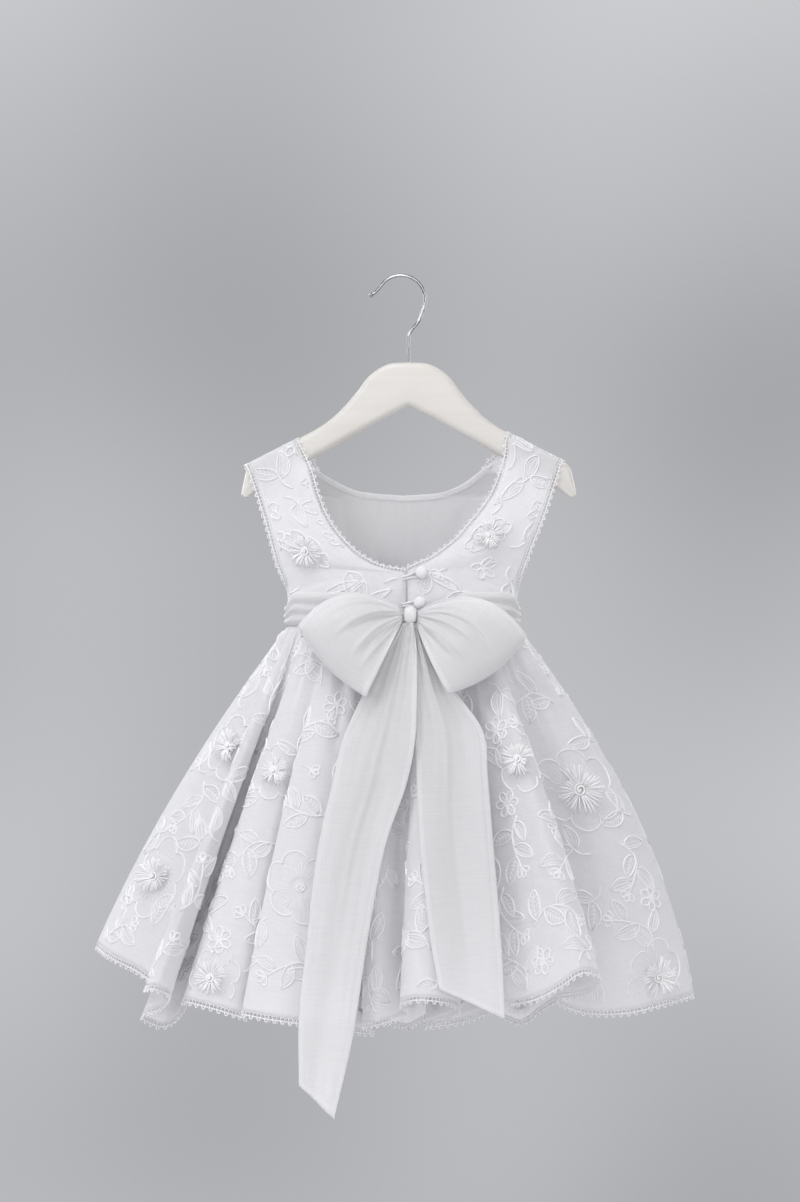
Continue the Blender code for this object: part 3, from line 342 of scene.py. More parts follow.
def wire_piece(name, points, radius, sides, radii=None):
    """A round wire along the points, made a mesh."""
    curve = bpy.data.curves.new(name, "CURVE")
    curve.dimensions = "3D"
    curve.bevel_depth = radius * MM
    curve.bevel_resolution = sides
    curve.use_fill_caps = True
    spline = curve.splines.new("POLY")
    spline.points.add(len(points) - 1)
    for i, point in enumerate(points):
        spline.points[i].co = (*(Vector(point) * MM), 1.0)
        spline.points[i].radius = radii[i] if radii else 1.0
    piece = bpy.data.objects.new(name, curve)
    bpy.context.scene.collection.objects.link(piece)
    made_active(piece)
    bpy.ops.object.convert(target="MESH")
    bpy.ops.object.shade_smooth()
    return bpy.context.object


arc_turns = np.radians(np.linspace(HOOK_OPENS_AT, HOOK_LEAVES_AT, ARC_STEPS))
arc = [(HOOK_RADIUS * math.cos(turn), WIRE_RADIUS - HOOK_RADIUS * (1 - math.sin(turn))) for turn in arc_turns]
stem = through_points([arc[-1]] + HOOK_STEM, STEM_STEPS)[1:]
route = [(place[0], 0.0, place[1]) for place in (*HOOK_END, *arc, *stem)]
radii = [size for _, _, size in HOOK_END] + [1.0] * (len(arc) + len(stem))
hook = wire_piece("hook_wire", route, WIRE_RADIUS, 6, radii)
# The steel's colour is kept well darker than chrome's own: painted reflection, which stands in for dark
# surroundings mirrored in the wire. The smears vary it and its roughness.
chrome, tree, shader = plain_finish("chromed_steel", (0.42, 0.43, 0.45), 0.14)
set_inputs(shader, {"Metallic": 1.0})
smears = streaked(tree, coordinates(tree, "Object"), (1.0, 1.0, 0.35), 260.0, 4.0)
tree.links.new(worked(tree, "MULTIPLY_ADD", smears, 0.16, 0.08), shader.inputs["Roughness"])
tones(tree, smears, (0.30, 0.305, 0.32), (0.52, 0.53, 0.55), shader.inputs["Base Color"])
hook.data.materials.append(chrome)
joins_gown(hook, "chromed_wire", "hanger_hook")


# --- Bodice ----------------------------------------------------------------------------------------
# White cotton voile, cut as one front and two back halves that button at the centre back. The
# straps are seamed on top of the shoulders. The front is lined with plain voile, which shows
# through the scooped back neck with the stitches along its turned edge.

GAP = 0.3
COTTON_WALL, LINING_WALL = 1.2, 1.0
CLOTH_SHOWN = 0.5
WAIST_X, WAIST_HALF_WIDTH, WAIST_HALF_DEPTH, WAIST_CORNER = 1.5, 103.0, 38.0, 0.7
WAIST_Z = -313.5
ROUND_FROM, ROUND_FULL = 0.58, 0.84
STRAPS = {LEFT: (143.2, 103.6), RIGHT: (135.4, 93.1)}
UNDERARM = 0.841
ARMHOLE_ROWS = [
    # down, x at the left and at the right, out from the middle plane, z at the left and at the right
    (0.064, -130.9, 136.2, 8.5, -181.0, -180.9), (0.148, -126.6, 132.0, 10.5, -193.0, -193.0),
    (0.23, -122.8, 128.4, 12.0, -204.6, -204.6), (0.364, -117.2, 121.6, 13.5, -223.5, -223.5),
    (0.5, -112.3, 114.0, 13.8, -242.8, -242.8), (0.61, -108.4, 108.6, 13.2, -258.4, -258.4),
    (0.7, -105.6, 105.4, 12.0, -271.2, -271.2), (0.76, -103.9, 104.8, 10.4, -279.6, -279.6),
    (0.8, -102.9, 104.7, 8.2, -285.4, -285.4), (0.825, -102.2, 104.6, 5.2, -289.0, -289.0),
    (0.836, -101.9, 104.5, 2.8, -290.6, -290.6), (UNDERARM, -101.5, 104.5, 0.5 * GAP, -291.2, -291.2),
    (1.0, -101.5, 104.5, 0.5 * GAP, WAIST_Z, WAIST_Z),
]
ARMHOLE = {
    LEFT: [(down, x, out, z) for down, x, _, out, z, _ in ARMHOLE_ROWS],
    RIGHT: [(down, x, out, z) for down, _, x, out, _, z in ARMHOLE_ROWS],
}
NECK_CORNER = {BACK: 0.62, FRONT: 0.22}
NECK = {
    # down, x, out from the middle plane, z
    (BACK, LEFT): [
        (0.1, -84.4, 11.0, -173.1), (0.2, -77.3, 15.0, -197.0), (0.31, -68.0, 20.0, -219.1),
        (0.4, -55.4, 25.5, -236.6), (0.48, -40.2, 30.5, -251.0), (0.55, -22.8, 34.5, -260.8),
        (0.6, -5.4, 37.0, -265.3), (0.62, 4.5, 37.4, -266.9), (1.0, 4.5, 38.0, WAIST_Z),
    ],
    (BACK, RIGHT): [
        (0.05, 96.2, 8.8, -162.4), (0.1, 91.8, 11.0, -176.9), (0.18, 84.6, 14.5, -194.8),
        (0.26, 74.3, 18.5, -210.6), (0.34, 61.7, 23.5, -225.9), (0.4, 52.4, 26.8, -236.6),
        (0.47, 39.3, 30.8, -247.4), (0.54, 25.9, 34.5, -256.2), (0.59, 13.2, 36.8, -261.9),
        (0.62, 5.8, 37.4, -265.6), (1.0, 5.8, 38.0, WAIST_Z),
    ],
    (FRONT, LEFT): [
        (0.06, -83.4, 12.0, -166.1), (0.12, -65.2, 19.5, -180.1), (0.17, -38.2, 26.5, -192.2),
        (0.22, WAIST_X, 29.0, -196.2), (1.0, WAIST_X, 38.0, WAIST_Z),
    ],
    (FRONT, RIGHT): [
        (0.05, 88.6, 10.5, -161.3), (0.09, 74.2, 16.0, -172.1), (0.13, 56.0, 22.0, -185.6),
        (0.17, 36.3, 26.8, -193.4), (0.22, WAIST_X, 29.0, -196.2), (1.0, WAIST_X, 38.0, WAIST_Z),
    ],
}
BODICE_COLUMNS = 44
ROWS_TO_CORNER, ROWS_TO_UNDERARM, ROWS_TO_WAIST = {BACK: 44, FRONT: 20}, {BACK: 34, FRONT: 56}, 9
STRAP_DEGREES = (1.0, 12.0, 24.0, 36.0, 48.0, 60.0, 75.0)


def mix(a, b, share):
    return a + (b - a) * share


def ease(value, low, high):
    """0 below low, 1 above high, and a smooth step between."""
    share = np.clip((value - low) / (high - low), 0.0, 1.0)
    return share * share * (3 - 2 * share)


def waist_oval(angle, off=0.0):
    """How far to the side of and behind its middle the waist's rounded oval passes, at an angle."""
    return [
        (half + off) * np.copysign(np.abs(part) ** WAIST_CORNER, part)
        for half, part in ((WAIST_HALF_WIDTH, np.cos(angle)), (WAIST_HALF_DEPTH, np.sin(angle)))
    ]


def strap_point(side, face, across, degrees):
    """A point of the strap's middle layer, where it goes over the board's round edge."""
    turn = math.radians(degrees)
    out = mix(*STRAPS[side], across)
    reach = BOARD_HALF + GAP + 0.5 * COTTON_WALL
    lean = reach * math.cos(turn) - BOARD_HALF
    x = HANGER_X + side * (out + lean * math.sin(ARM_SLOPE))
    top = ARM_START[1] - (out - ARM_START[0]) * math.tan(ARM_SLOPE)
    return np.array((x, face * reach * math.sin(turn), top + lean * math.cos(ARM_SLOPE)))


def edge_point(table, start, down):
    """A point on an edge of the bodice: x, how far out from the middle plane, z."""
    rows = np.array([(0.0, start[0], abs(start[1]), start[2])] + table)
    corner = rows[-2, 0]
    rows = rows[-2:] if down > corner else rows[:-1]
    return through(rows[:, 0], rows[:, 1:], down)[0]


def bodice_row(side, face, acrosses, down):
    """Points of one half of the back or front at one height, from the arm side to the neck side."""
    arm = edge_point(ARMHOLE[side], strap_point(side, face, 0.0, 90.0), down)
    neck = edge_point(NECK[face, side], strap_point(side, face, 1.0, 90.0), down)
    across = np.asarray(acrosses, float)
    x, z = mix(arm[0], neck[0], across), mix(arm[2], neck[2], across)
    out = mix(arm[1], neck[1], np.sin(0.5 * math.pi * across))
    first = math.asin(min(arm[1] / WAIST_HALF_DEPTH, 1.0) ** (1 / WAIST_CORNER))
    reach = side * (neck[0] - WAIST_X) / WAIST_HALF_WIDTH
    last = math.acos(math.copysign(abs(reach) ** (1 / WAIST_CORNER), reach))
    beside, round_out = waist_oval(mix(first, last, across))
    roundness = ease(down, ROUND_FROM, ROUND_FULL)
    x, out = mix(x, WAIST_X + side * beside, roundness), mix(out, round_out, roundness)
    return np.stack([x, face * out, z], axis=1)


def bodice_point(side, face, across, down):
    return bodice_row(side, face, [across], down)[0]


def row_places(start, corner, count_above, count_below):
    """Places from a start to the waist, with a row at the neck's corner and at the underarm."""
    above = np.linspace(start, corner, count_above)
    middle = np.linspace(corner, UNDERARM, count_below)[1:]
    return np.concatenate([above, middle, np.linspace(UNDERARM, 1.0, ROWS_TO_WAIST)[1:]])


def bodice_grid(side, face, rows, over_board=True):
    """Rows of points from the shoulder seam to the waist."""
    shares = np.linspace(0.0, 1.0, BODICE_COLUMNS)
    over = STRAP_DEGREES if over_board else ()
    grid = [[strap_point(side, face, share, degrees) for share in shares] for degrees in over]
    return np.array(grid + [bodice_row(side, face, shares, down) for down in rows])


def rounded_off(grid, rows, corner, reach):
    """Evens out the depth over some rows, where the neck's corner leaves a fold across the cloth."""
    depth = grid[:, :, 1]
    padded = np.pad(depth, ((reach, reach), (0, 0)), mode="edge")
    even = sum(padded[i : i + len(depth)] for i in range(2 * reach + 1)) / (2 * reach + 1)
    near = 1.0 - ease(np.abs(rows - corner), 0.06, 0.12)
    shares = np.linspace(0.0, 1.0, grid.shape[1])
    smooth = grid.copy()
    smooth[:, :, 1] = mix(depth, even, near[:, None] * (1.0 - shares[None, :] ** 8))
    return smooth


def squares(grid):
    """For each point of a grid, the direction square to its cloth."""
    return unit(np.cross(np.gradient(grid, axis=1), np.gradient(grid, axis=0)))


def facing(grid):
    """For each point of a grid, the way that the cloth faces, outwards from the gown's inside."""
    square = squares(grid)
    away = grid * (1.0, 1.0, 0.0) - (WAIST_X, 0.0, 0.0)
    return square if (square * away).sum() > 0.0 else -square


def creased(grid, rows):
    """Adds soft creases, each a short ridge or valley drawn from one place on the grid to another."""
    down_count, across_count = grid.shape[:2]
    down, across = np.mgrid[0:down_count, 0:across_count].astype(float)
    down, across = down / (down_count - 1), across / (across_count - 1)
    rise = np.zeros(grid.shape[:2])
    for across_from, down_from, across_to, down_to, width, height in rows:
        line = np.array((across_to - across_from, down_to - down_from))
        share = ((across - across_from) * line[0] + (down - down_from) * line[1]) / (line @ line)
        share_in = np.clip(share, 0.0, 1.0)
        miss = np.hypot(across - across_from - share_in * line[0], down - down_from - share_in * line[1])
        fade = np.sin(math.pi * np.clip(share, 0.02, 0.98)) ** 0.7
        rise += height * fade * np.exp(-((miss / width) ** 2))
    return grid + facing(grid) * rise[:, :, None]


def grid_runs(grid, axis):
    """For each point of a grid, how far it lies down its column (axis 0) or along its row (axis 1)."""
    steps = np.linalg.norm(np.diff(grid, axis=axis), axis=2)
    return np.insert(np.cumsum(steps, axis=axis), 0, 0.0, axis=axis)


def grid_faces(rows, columns, ring=False):
    """Four-cornered faces of a grid, row by row."""
    j, i = np.mgrid[0 : rows - 1, 0 : columns if ring else columns - 1]
    ahead = (i + 1) % columns
    corners = [j * columns + i, (j + 1) * columns + i, (j + 1) * columns + ahead, j * columns + ahead]
    return np.stack(corners, axis=2).reshape(-1, 4)


def new_work():
    """Holds what will be one mesh: its points in millimetres, its faces, and a UV for each point."""
    return {"points": [], "faces": [], "marks": [], "count": 0}


def add_part(work, points, faces, marks):
    work["points"].append(points)
    work["faces"].append(faces + work["count"])
    work["marks"].append(marks)
    work["count"] += len(points)


def mesh_piece(name, work, material):
    """A smooth mesh of all that was added to a work."""
    mesh = bpy.data.meshes.new(name)
    faces = [face for part in work["faces"] for face in part.tolist()]
    mesh.from_pydata((np.vstack(work["points"]) * MM).tolist(), [], faces)
    layer = mesh.uv_layers.new(name="UVMap")
    corners = np.empty(len(mesh.loops), np.int32)
    mesh.loops.foreach_get("vertex_index", corners)
    layer.data.foreach_set("uv", np.vstack(work["marks"]).astype(np.float32)[corners].ravel())
    mesh.shade_smooth()
    mesh.materials.append(material)
    piece = bpy.data.objects.new(name, mesh)
    bpy.context.scene.collection.objects.link(piece)
    return piece


def cloth_piece(name, grids, thickness, material, ring=False, hem=None):
    """A closed shell of cloth on one grid, or on two that share an edge at the middle."""
    work = new_work()
    for grid in grids:
        faces = grid_faces(*grid.shape[:2], ring)
        square = np.cross(grid[1, 0] - grid[0, 0], grid[0, 1] - grid[0, 0])
        outwards = facing(grid)[0, 0] @ square > 0.0
        along, down = grid_runs(grid, 1), grid_runs(grid, 0)
        marks = np.stack([along - along[:, along.shape[1] // 2, None], down], axis=2) * MM
        add_part(work, grid.reshape(-1, 3), faces if outwards else faces[:, ::-1], marks.reshape(-1, 2))
    piece = mesh_piece(name, work, material)
    if hem is not None:
        doubled = piece.data.attributes.new("hem", "FLOAT", "POINT")
        doubled.data.foreach_set("value", hem.ravel().astype(np.float32))
    made_active(piece)
    if len(grids) > 1:
        edited(bpy.ops.mesh.remove_doubles, threshold=0.00001)
    shell = piece.modifiers.new("thickness", "SOLIDIFY")
    shell.thickness = thickness * MM
    shell.offset = 0.0
    bpy.ops.object.modifier_apply(modifier=shell.name)
    return piece


# Plain weave: threads over and under each other along both directions of the cloth, with slubs.
weave, given, result = effect_group("plain_weave", ("Height", "Slub"), Threads=2400.0)
parts = weave.nodes.new("ShaderNodeSeparateXYZ")
weave.links.new(given["Vector"], parts.inputs["Vector"])
pitch = worked(weave, "MULTIPLY", given["Threads"], math.pi)
warp, weft = (worked(weave, "SINE", worked(weave, "MULTIPLY", parts.outputs[way], pitch)) for way in "XY")
weave.links.new(worked(weave, "MULTIPLY", warp, weft), result["Height"])
slub_across = streaked(weave, given["Vector"], (40.0, 620.0, 1.0), 1.0, 2.0)
slub_down = streaked(weave, given["Vector"], (900.0, 40.0, 1.0), 1.0, 2.0)
down_part = worked(weave, "MULTIPLY", slub_down, 0.3)
weave.links.new(worked(weave, "MULTIPLY_ADD", slub_across, 0.7, down_part), result["Slub"])


def cloth_uv(tree, turn):
    """The cloth's own coordinates, in metres, turned by an angle."""
    uv = tree.nodes.new("ShaderNodeUVMap")
    uv.uv_map = "UVMap"
    return fed(tree, "ShaderNodeMapping", uv.outputs["UV"], {"Rotation": (0.0, 0.0, turn)}).outputs["Vector"]


def cloth_finish(name, dark, light, threads, puckers, sheen, weave_turn=0.0, slubs=0.12):
    """Woven cloth: two near whites by the slubs, and the weave and soft puckers in its normal."""
    material, tree, shader = plain_finish(name, light, 0.86)
    set_inputs(shader, {
        "Subsurface Weight": 0.75, "Subsurface Radius": (1.0, 1.0, 1.0), "Subsurface Scale": 0.002,
        "Sheen Weight": sheen, "Sheen Roughness": 0.5, "Specular IOR Level": 0.25,
    })
    woven = use_group(tree, weave, cloth_uv(tree, weave_turn), {"Threads": threads})
    tones(tree, woven["Slub"], dark, light, shader.inputs["Base Color"])
    pucker = streaked(tree, coordinates(tree, "Object"), (1.0, 1.0, 0.7), 95.0)
    threads_rise = worked(tree, "MULTIPLY", woven["Height"], 0.04)
    own_rise = worked(tree, "MULTIPLY_ADD", woven["Slub"], slubs, threads_rise)
    bumped(tree, shader, worked(tree, "MULTIPLY_ADD", pucker, puckers, own_rise), 0.8, 0.0016)
    return material, tree, shader, woven


voile = cloth_finish("white_cotton_voile", (0.775, 0.77, 0.79), (0.89, 0.885, 0.90), 2400.0, 1.0, 0.08)[0]
# The lining's colours are lighter than the voile's: painted light, which lifts the shade inside the neck where
# the lining shows.
lining_voile = cloth_finish("plain_lining_voile", (0.89, 0.88, 0.90), (0.95, 0.94, 0.96), 2600.0, 0.35, 0.05)[0]

BODICE_CREASES = {
    # face, side: across and down from, across and down to, width, height
    (BACK, LEFT): [
        (0.2, 0.98, 0.45, 0.74, 0.03, 1.1), (0.55, 0.99, 0.7, 0.8, 0.025, 0.9),
        (0.12, 0.8, 0.6, 0.62, 0.03, -0.7), (0.9, 0.98, 0.8, 0.86, 0.02, 0.8),
        (0.35, 0.3, 0.6, 0.48, 0.04, 0.6),
    ],
    (BACK, RIGHT): [
        (0.25, 0.98, 0.4, 0.78, 0.028, 1.0), (0.62, 0.99, 0.66, 0.82, 0.024, 0.9),
        (0.1, 0.82, 0.55, 0.66, 0.03, -0.6), (0.3, 0.32, 0.62, 0.52, 0.04, 0.6),
    ],
    (FRONT, LEFT): [
        (0.2, 0.98, 0.42, 0.76, 0.028, 1.0), (0.58, 0.99, 0.66, 0.8, 0.024, 0.9),
        (0.86, 0.99, 0.84, 0.84, 0.02, 0.8),
    ],
    (FRONT, RIGHT): [
        (0.24, 0.98, 0.4, 0.76, 0.028, 1.0), (0.6, 0.99, 0.68, 0.8, 0.024, 0.9),
        (0.88, 0.99, 0.86, 0.84, 0.02, 0.8),
    ],
}
bodice_rows, bodice_grids = {}, {}
for face, corner in NECK_CORNER.items():
    rows = bodice_rows[face] = row_places(0.0, corner, ROWS_TO_CORNER[face], ROWS_TO_UNDERARM[face])
    for side in SIDE_NAMES:
        plain = bodice_grid(side, face, rows)
        if face == FRONT:
            plain = rounded_off(plain, np.concatenate([np.zeros(len(STRAP_DEGREES)), rows]), corner, 6)
        grid = creased(plain, BODICE_CREASES[face, side])
        grid[:, [0, -1]] = plain[:, [0, -1]]
        bodice_grids[face, side] = grid

for side, name in SIDE_NAMES.items():
    piece = cloth_piece("bodice_back_%s_voile" % name, [bodice_grids[BACK, side]], CLOTH_SHOWN, voile)
    joins_gown(piece, "embroidered_cotton", "bodice_back_" + name)
front_grids = [bodice_grids[FRONT, side] for side in SIDE_NAMES]
front_voile = cloth_piece("bodice_front_voile", front_grids, CLOTH_SHOWN, voile)
joins_gown(front_voile, "embroidered_cotton", "bodice_front")

LINING_CREASES = [
    # across and down from, across and down to, width, height
    (0.3, 0.04, 0.42, 0.8, 0.03, 0.7), (0.55, 0.08, 0.6, 0.9, 0.03, 0.8), (0.8, 0.1, 0.8, 0.85, 0.025, 0.6),
    (0.985, 0.16, 0.985, 1.0, 0.018, -0.6),
]
LINING_FROM, LINING_ROWS = 0.09, (24, 90)
BRIM_STEPS, PAST_MIDDLE = 80, 8.0
FACING_DEPTH, TURN_STEP, TURN_BLUR = 5.4, 0.5, 0.6
lining_inset = 0.5 * COTTON_WALL + GAP + 0.5 * LINING_WALL
lining_rows = row_places(LINING_FROM, NECK_CORNER[FRONT], *LINING_ROWS)
lining_grids = []
for side in SIDE_NAMES:
    plain = bodice_grid(side, FRONT, lining_rows, False)
    plain = rounded_off(plain, lining_rows, NECK_CORNER[FRONT], 10)
    ways = facing(plain) * (1.0, 1.0, 0.0)
    ways[:, -4:] = (0.0, 1.0, 0.0)
    half = plain - unit(ways) * lining_inset
    edge = half[:, -1].copy()
    half = creased(half, LINING_CREASES)
    half[:, -1] = edge
    brim = edge[lining_rows <= NECK_CORNER[FRONT] + 1e-6]
    brim = np.vstack([through_points(brim, BRIM_STEPS), brim[-1] - (side * PAST_MIDDLE, 0.0, 0.0)])
    off_brim = np.linalg.norm(half[:, :, None] - brim, axis=3).min(axis=2)
    half[:, :, 1] -= TURN_STEP * (1.0 - ease(off_brim, FACING_DEPTH - TURN_BLUR, FACING_DEPTH + TURN_BLUR))
    lining_grids.append(half)
lining = cloth_piece("bodice_lining_voile", lining_grids, CLOTH_SHOWN, lining_voile)
joins_gown(lining, "plain_voile", "bodice_front_lining")


# --- Stitched edge of the lining -------------------------------------------------------------------
# White sewing thread, one straight row that holds down the lining's turned edge.

# Corners of a cord's section, beside and above its middle, in shares of its width and height.
LAID = np.array([(-0.5, -0.25), (-0.28, 0.9), (0.28, 0.9), (0.5, -0.25)])
FREE = np.array([(-0.5, 0.0), (0.0, 0.5), (0.5, 0.0), (0.0, -0.5)])
STITCH, STITCH_STEP, STITCH_SIZE = 1.9, 2.6, (0.7, 0.5)


def add_cord(work, points, ups, width, height, section=LAID, taper=(0.7, 0.7)):
    """Adds one cord, closed at both ends, along points with the way up at each one."""
    if len(points) < 2:
        return
    points = np.asarray(points, float)
    ahead = unit(np.gradient(points, axis=0))
    beside = unit(np.cross(ahead, ups))
    above = np.cross(beside, ahead)
    size = np.ones((len(points), 1, 1))
    size[0], size[-1] = taper
    wide, high = section[:, :1] * width * size, section[:, 1:] * height * size
    corners = points[:, None] + beside[:, None] * wide + above[:, None] * high
    sides, last = len(section), (len(points) - 1) * len(section)
    walls = grid_faces(len(points), sides, True)[:, [0, 3, 2, 1]]
    caps = [[3, 2, 1, 0], [last, last + 1, last + 2, last + 3]]
    marks = np.stack(np.meshgrid(lengths_along(points), np.arange(sides) / sides, indexing="ij"), axis=2) * MM
    add_part(work, corners.reshape(-1, 3), np.vstack([walls, caps]), marks.reshape(-1, 2))


def thread_finish(name, dark, light, sheen):
    """Twisted cotton: two near whites along its twist, which stands up a little too."""
    material, tree, shader = plain_finish(name, light, 0.62)
    set_inputs(shader, {"Sheen Weight": sheen, "Specular IOR Level": 0.35})
    slanting = cloth_uv(tree, math.radians(35.0))
    twist = fed(tree, "ShaderNodeTexWave", slanting, {"Scale": 220.0, "Distortion": 1.5}).outputs["Fac"]
    tones(tree, twist, dark, light, shader.inputs["Base Color"])
    bumped(tree, shader, twist, 0.3, 0.0002)
    return material


thread = thread_finish("white_thread", (0.90, 0.895, 0.91), (0.965, 0.96, 0.97), 0.12)


def read_line(at, run, values):
    """Points or directions along a line, read at places on its run."""
    return np.stack([np.interp(at, run, values[:, k]) for k in range(3)], axis=-1)


stitching = new_work()
towards = np.array((0.0, -1.0, 0.0))
for grid, side in zip(lining_grids, SIDE_NAMES):
    count = int((lining_rows < NECK_CORNER[FRONT]).sum())
    along = np.gradient(grid[:count, -1], axis=0)
    below = unit(np.stack([side * along[:, 2], 0.0 * along[:, 1], -side * along[:, 0]], axis=1))
    below *= -np.sign(below[:, 2:])
    line = grid[:count, -1] + 0.3 * towards + below * (FACING_DEPTH - 1.0)
    line = np.vstack([line, grid[count, -1] + (0.0, -0.3, 1.0 - FACING_DEPTH)])
    run = lengths_along(line)
    for start in np.arange(0.0, run[-1] - STITCH, STITCH_STEP):
        row = read_line(start + STITCH * np.linspace(0.0, 1.0, 3), run, line)
        add_cord(stitching, row, [towards] * 3, *STITCH_SIZE)
facing_stitches = mesh_piece("facing_stitches", stitching, thread)
joins_gown(facing_stitches, "plain_voile")


# --- Skirt -----------------------------------------------------------------------------------------
# Two widths of the same voile, seamed at the sides and gathered to the bodice. The cloth hangs in
# deep rounded folds that open towards the hem.

SKIRT_TOP = WAIST_Z - 0.6
SKIRT_LENGTH = 355.0
HEM_LACE = 6.8
SKIRT_FOLDS = {
    # waist, x, y, z, swell
    BACK: [
        (0, -277, 15, -606, 0.07), (0.025, -258, -28, -614, 0.06), (0.055, -233, -52, -624, 0.05),
        (0.085, -221, -64, -632, 0.03), (0.105, -226, -92, -635, 0.02), (0.13, -216, -112, -633, 0.02),
        (0.155, -205, -98, -639, 0.02), (0.17, -213, -62, -655, 0.02), (0.185, -232, -32, -667, 0.02),
        (0.2, -216, -20, -676, 0.02), (0.215, -191, -52, -654, 0.02), (0.23, -193, -80, -647, 0.03),
        (0.26, -167, -98, -651, 0.04), (0.29, -145, -94, -658, 0.04), (0.305, -135, -84, -662, 0.04),
        (0.32, -140, -104, -656, 0.04), (0.345, -119, -112, -659, 0.04), (0.38, -88, -108, -664, 0.03),
        (0.41, -62, -90, -669, 0.03), (0.43, -42, -52, -677, 0.03), (0.445, -24, -38, -680, 0.03),
        (0.46, -34, -70, -670, 0.03), (0.475, -22, -90, -667, 0.03), (0.488, -8, -80, -664, 0.03),
        (0.499, 4, -66, -660, 0.03), (0.509, 7, -82, -655, 0.03), (0.52, -1, -101, -648, 0.03),
        (0.54, 12, -116, -642, 0.03), (0.565, 34, -112, -644, 0.03), (0.59, 52, -84, -653, 0.03),
        (0.605, 35, -48, -669, 0.03), (0.62, 21, -28, -675, 0.03), (0.635, 44, -16, -674, 0.03),
        (0.65, 79, -48, -660, 0.03), (0.662, 93, -74, -651, 0.03), (0.676, 117, -96, -644, 0.03),
        (0.686, 139, -112, -631, 0.04), (0.696, 158, -118, -618, 0.04), (0.706, 173, -104, -622, 0.05),
        (0.72, 167, -66, -640, 0.06), (0.735, 138, -36, -650, 0.08), (0.755, 165, -12, -664, 0.12),
        (0.83, 205, -22, -663, 0.15), (0.92, 237, -14, -656, 0.16), (1, 265, 12, -651, 0.16),
    ],
    FRONT: [
        (0, -277, 15, -606, 0.07), (0.03, -268, 44, -618, 0.06), (0.06, -246, 62, -632, 0.05),
        (0.095, -226, 54, -644, 0.05), (0.13, -204, 42, -654, 0.04), (0.16, -196, 66, -656, 0.04),
        (0.19, -188, 94, -652, 0.04), (0.225, -160, 104, -654, 0.04), (0.26, -134, 92, -664, 0.04),
        (0.295, -124, 62, -676, 0.03), (0.33, -104, 60, -680, 0.03), (0.36, -92, 90, -672, 0.03),
        (0.4, -66, 112, -666, 0.03), (0.44, -36, 108, -668, 0.03), (0.475, -20, 80, -680, 0.03),
        (0.51, 4, 68, -686, 0.03), (0.545, 22, 92, -680, 0.03), (0.58, 46, 114, -670, 0.03),
        (0.62, 76, 108, -668, 0.03), (0.655, 92, 80, -676, 0.03), (0.69, 110, 62, -682, 0.04),
        (0.725, 128, 80, -672, 0.06), (0.76, 150, 102, -662, 0.08), (0.8, 180, 96, -658, 0.1),
        (0.835, 196, 68, -664, 0.12), (0.87, 212, 50, -668, 0.14), (0.905, 230, 60, -662, 0.15),
        (0.94, 250, 56, -656, 0.16), (0.975, 264, 36, -652, 0.16), (1, 265, 12, -651, 0.16),
    ],
}
# Short creases that run out below the waist.
GATHERS = [
    # waist, depth, half width along the waist, how far down
    (0.052, 2.6, 0.01, 0.3), (0.142, 2.6, 0.01, 0.25), (0.262, 2.8, 0.01, 0.34), (0.318, 5.0, 0.012, 0.44),
    (0.385, 5.0, 0.012, 0.38), (0.448, 2.6, 0.01, 0.3), (0.53, 2.6, 0.01, 0.3), (0.604, 2.8, 0.01, 0.32),
    (0.668, 2.6, 0.01, 0.28), (0.765, 2.6, 0.01, 0.26), (0.812, 5.0, 0.012, 0.42),
    (0.885, 2.6, 0.012, 0.32), (0.948, 2.4, 0.012, 0.28),
]
# On the back one place stands off the gathers just under the waist: depth, waist, half width.
PUFF, PUFF_AT, PUFF_WIDTH = 5.5, 0.055, 0.028
HALF_NAMES = {BACK: "back", FRONT: "front"}
SKIRT_COLUMNS = {BACK: 420, FRONT: 300}
SKIRT_ROWS, ROW_SPREAD = 90, 1.05
SEAM_DRAW = 0.2


def between(value, starts, full, fades, ends):
    """1 over a stretch and 0 beyond it, with a smooth step at each of its ends."""
    return ease(value, starts, full) * (1.0 - ease(value, fades, ends))


def fine_gathers(share, down):
    """Depth of the small gathers under the waist seam, which die out one by one on the way down."""
    close = np.sin(2 * math.pi * (31.0 * share + 0.35 * np.sin(23.0 * share)))
    wide = np.sin(2 * math.pi * (15.0 * share + 0.40 * np.sin(17.0 * share + 1.0)))
    ends = 0.20 + 0.10 * np.sin(41.0 * share)
    close_depth = 0.75 * between(down, 0.0, 0.03, 0.05, ends)
    wide_depth = 1.1 * between(down, 0.0, 0.08, 0.20, 0.35 + ends)
    return close_depth * (0.6 + 0.6 * close) + wide_depth * (0.6 + 0.6 * wide)


def skirt_grid(half, alongs, downs):
    """The skirt's middle layer, from the waist to the lace's edge and from the left seam to the right."""
    folds = np.array(SKIRT_FOLDS[half])
    hem_run = lengths_along(folds[:, 1:4])
    rows = through(hem_run / hem_run[-1], folds, alongs)
    share, hem, swell = rows[:, 0], rows[:, 1:4], rows[:, 4]
    top_x, top_y = waist_oval(math.pi * share)
    seam_fade = ease(np.minimum(alongs, 1.0 - alongs), 0.0, 0.02)
    grid = []
    for down in downs:
        out = down + 4.0 * swell * down * (1.0 - down)
        x, y = mix(WAIST_X - top_x, hem[:, 0], out), mix(half * top_y, hem[:, 1], out)
        inside = unit(np.stack([WAIST_X - x, -2.5 * y, np.zeros(len(x))], axis=1))
        crease = seam_fade * fine_gathers(share, down)
        for waist, depth, half_width, reach in GATHERS:
            fade = between(down, 0.0, 0.06, 0.4 * reach, reach)
            crease += depth * fade * np.exp(-(((share - waist) / half_width) ** 2))
        if half == BACK:
            fade = between(down, 0.0, 0.03, 0.04, 0.11)
            crease -= PUFF * fade * np.exp(-(((share - PUFF_AT) / PUFF_WIDTH) ** 2))
        grid.append(np.stack([x, y, mix(SKIRT_TOP, hem[:, 2], down)], axis=1) + inside * crease[:, None])
    return np.array(grid)


